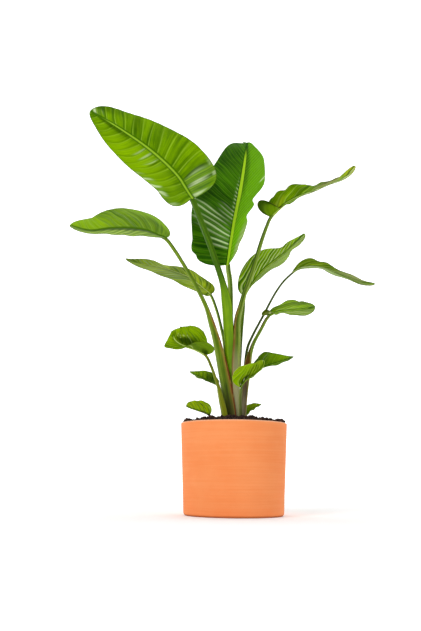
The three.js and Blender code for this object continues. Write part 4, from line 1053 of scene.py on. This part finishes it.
# Crumbs: small balls, each squeezed and roughened by its own seeded numbers, all in one mesh. Most lie on the
# mound, clear of the stems; the last ones are heaped against the rim at both sides.
def addCrumbs(material):
    s = soil
    rng = np.random.default_rng(s["crumbSeed"])
    sides, rings = s["crumbGrid"]
    lean = np.linspace(0, np.pi, rings + 2)[1:-1]
    ball = turnedRings(np.stack([np.sin(lean), -np.cos(lean)], axis=1), sides)
    points, faces = closedRings(ball, [[0, 0, -1]], [[0, 0, 1]])
    strewn, heaped = s["crumbs"]
    count = strewn + heaped
    heapAngle = np.radians(rng.uniform(*s["heapSpan"], heaped))
    heapAngle[::2] = np.pi - heapAngle[::2]
    angle = np.append(rng.uniform(0, 2 * np.pi, strewn), heapAngle)
    reach = wallRadius(s["edge"]) - pot["wall"] - s["wallClear"]
    near = rng.uniform(s["stemClear"] ** 2, reach ** 2, strewn) ** 0.5
    out = np.append(near, rng.uniform(*s["heapReach"], heaped))
    large = rng.uniform(0, 1, (count, 1)) ** np.where(out > reach, *s["smaller"])[:, None]
    size = s["crumbSize"][0] + (s["crumbSize"][1] - s["crumbSize"][0]) * large
    shape = size * rng.uniform(*s["squeeze"], (count, 3))
    rough = 1 + rng.uniform(-s["rough"], s["rough"], (count, len(points), 1))
    turned = rng.uniform(0, 2 * np.pi, (count, 1))
    body = points[None] * rough * shape[:, None]
    x = body[..., 0] * np.cos(turned) - body[..., 1] * np.sin(turned)
    y = body[..., 0] * np.sin(turned) + body[..., 1] * np.cos(turned)
    place = np.stack([out * np.cos(angle), out * np.sin(angle)], axis=1)
    onRim = pot["height"] + s["rimRise"] + s["lie"][0] * size[:, 0]
    onSoil = soilLevel(place[:, 0], place[:, 1]) + s["lie"][1] * size[:, 0]
    level = np.where(out > reach, onRim, onSoil)
    spread = np.stack([x + place[:, :1], y + place[:, 1:], body[..., 2] + level[:, None]], axis=2)
    shifts = np.arange(count)[:, None, None] * len(points)
    faces = [(part[None] + shifts).reshape(-1, part.shape[1]) for part in faces]
    addPiece("soil_crumbs", spread.reshape(-1, 3), faces, {}, material)


addPot()
ground = soilMaterial()
addSoil(ground)
addCrumbs(ground)
print("pot and soil")


# plain floor that curves up into a backdrop, soft lights and camera, in metres and degrees
studio = {
    "floor": (0.9, 0.9, 0.9, 1.0), "world": 0.36, "wide": 14.0, "front": -20, "back": 4.0, "high": 9.0,
    "curve": 1.5, "curveSteps": 24,
    "glow": [0.12, 0.8], "glowFrom": [0.2, 2.0],  # of the floor near the plant and of the backdrop, and where
    "cameraPlace": (-0.058, -1.675, 0.088), "tilt": 12.9, "roll": 0.6, "lens": 40.0,
    "lights": [  # name, place, what it looks at, size, power
        ("key", (-1.5, -2.2, 2.2), (0.0, 0.0, 0.5), 1.2, 40.0),
        ("fill", (2.2, -1.8, 1.2), (0.0, 0.0, 0.5), 2.0, 12.0),
        ("top", (0.2, 0.4, 2.8), (0.0, 0.0, 0.6), 1.6, 16.0),
    ],
}


# The floor's line from front to back and up the backdrop, drawn out to both sides; it glows more at the back
def addFloor():
    s = studio
    material, wire = newMaterial("floor")
    near, far = ((glow, glow, glow, 1.0) for glow in s["glow"])
    finishMaterial(wire, {
        "Base Color": s["floor"], "Roughness": 0.9, "Specular IOR Level": 0.0,
        "Emission Color": wire.placeAlong("Y").step(*s["glowFrom"]).mix(near, far), "Emission Strength": 1.0,
    })
    curve = roundCorner((s["back"] - s["curve"], s["curve"]), (s["curve"],) * 2, -90, 0, s["curveSteps"])
    line = np.vstack([[[s["front"], 0]], curve, [[s["back"], s["high"]]]])
    across = np.broadcast_to([-s["wide"], s["wide"]], (len(line), 2))
    points = np.stack([across, *(np.repeat(line[:, k:k + 1], 2, axis=1) for k in (0, 1))], axis=2)
    floor = addMesh("floor", points.reshape(-1, 3), [gridQuads(len(line), 2)], {}, material)


def addLight(name, place, target, size, power):
    lamp = bpy.data.lights.new(name, "AREA")
    lamp.shape = "DISK"
    lamp.size = size
    lamp.energy = power
    turn = (Vector(place) - Vector(target)).to_track_quat("Z", "Y").to_matrix().to_4x4()
    addObject(name, lamp).matrix_world = Matrix.Translation(place) @ turn


def addCamera():
    camera = bpy.data.cameras.new("camera")
    camera.lens = studio["lens"]
    tilt = Matrix.Rotation(math.radians(90 + studio["tilt"]), 4, "X")
    roll = Matrix.Rotation(math.radians(studio["roll"]), 4, "Z")
    holder = addObject("camera", camera)
    holder.matrix_world = Matrix.Translation(studio["cameraPlace"]) @ tilt @ roll
    bpy.context.scene.camera = holder


scene = bpy.context.scene
scene.view_settings.view_transform = "Standard"
scene.world = bpy.data.worlds.new("studio")
scene.world.use_nodes = True
background = scene.world.node_tree.nodes["Background"].inputs
background["Color"].default_value = (1.0, 1.0, 1.0, 1.0)
background["Strength"].default_value = studio["world"]
addFloor()
for light in studio["lights"]:
    addLight(*light)
addCamera()
print("studio")
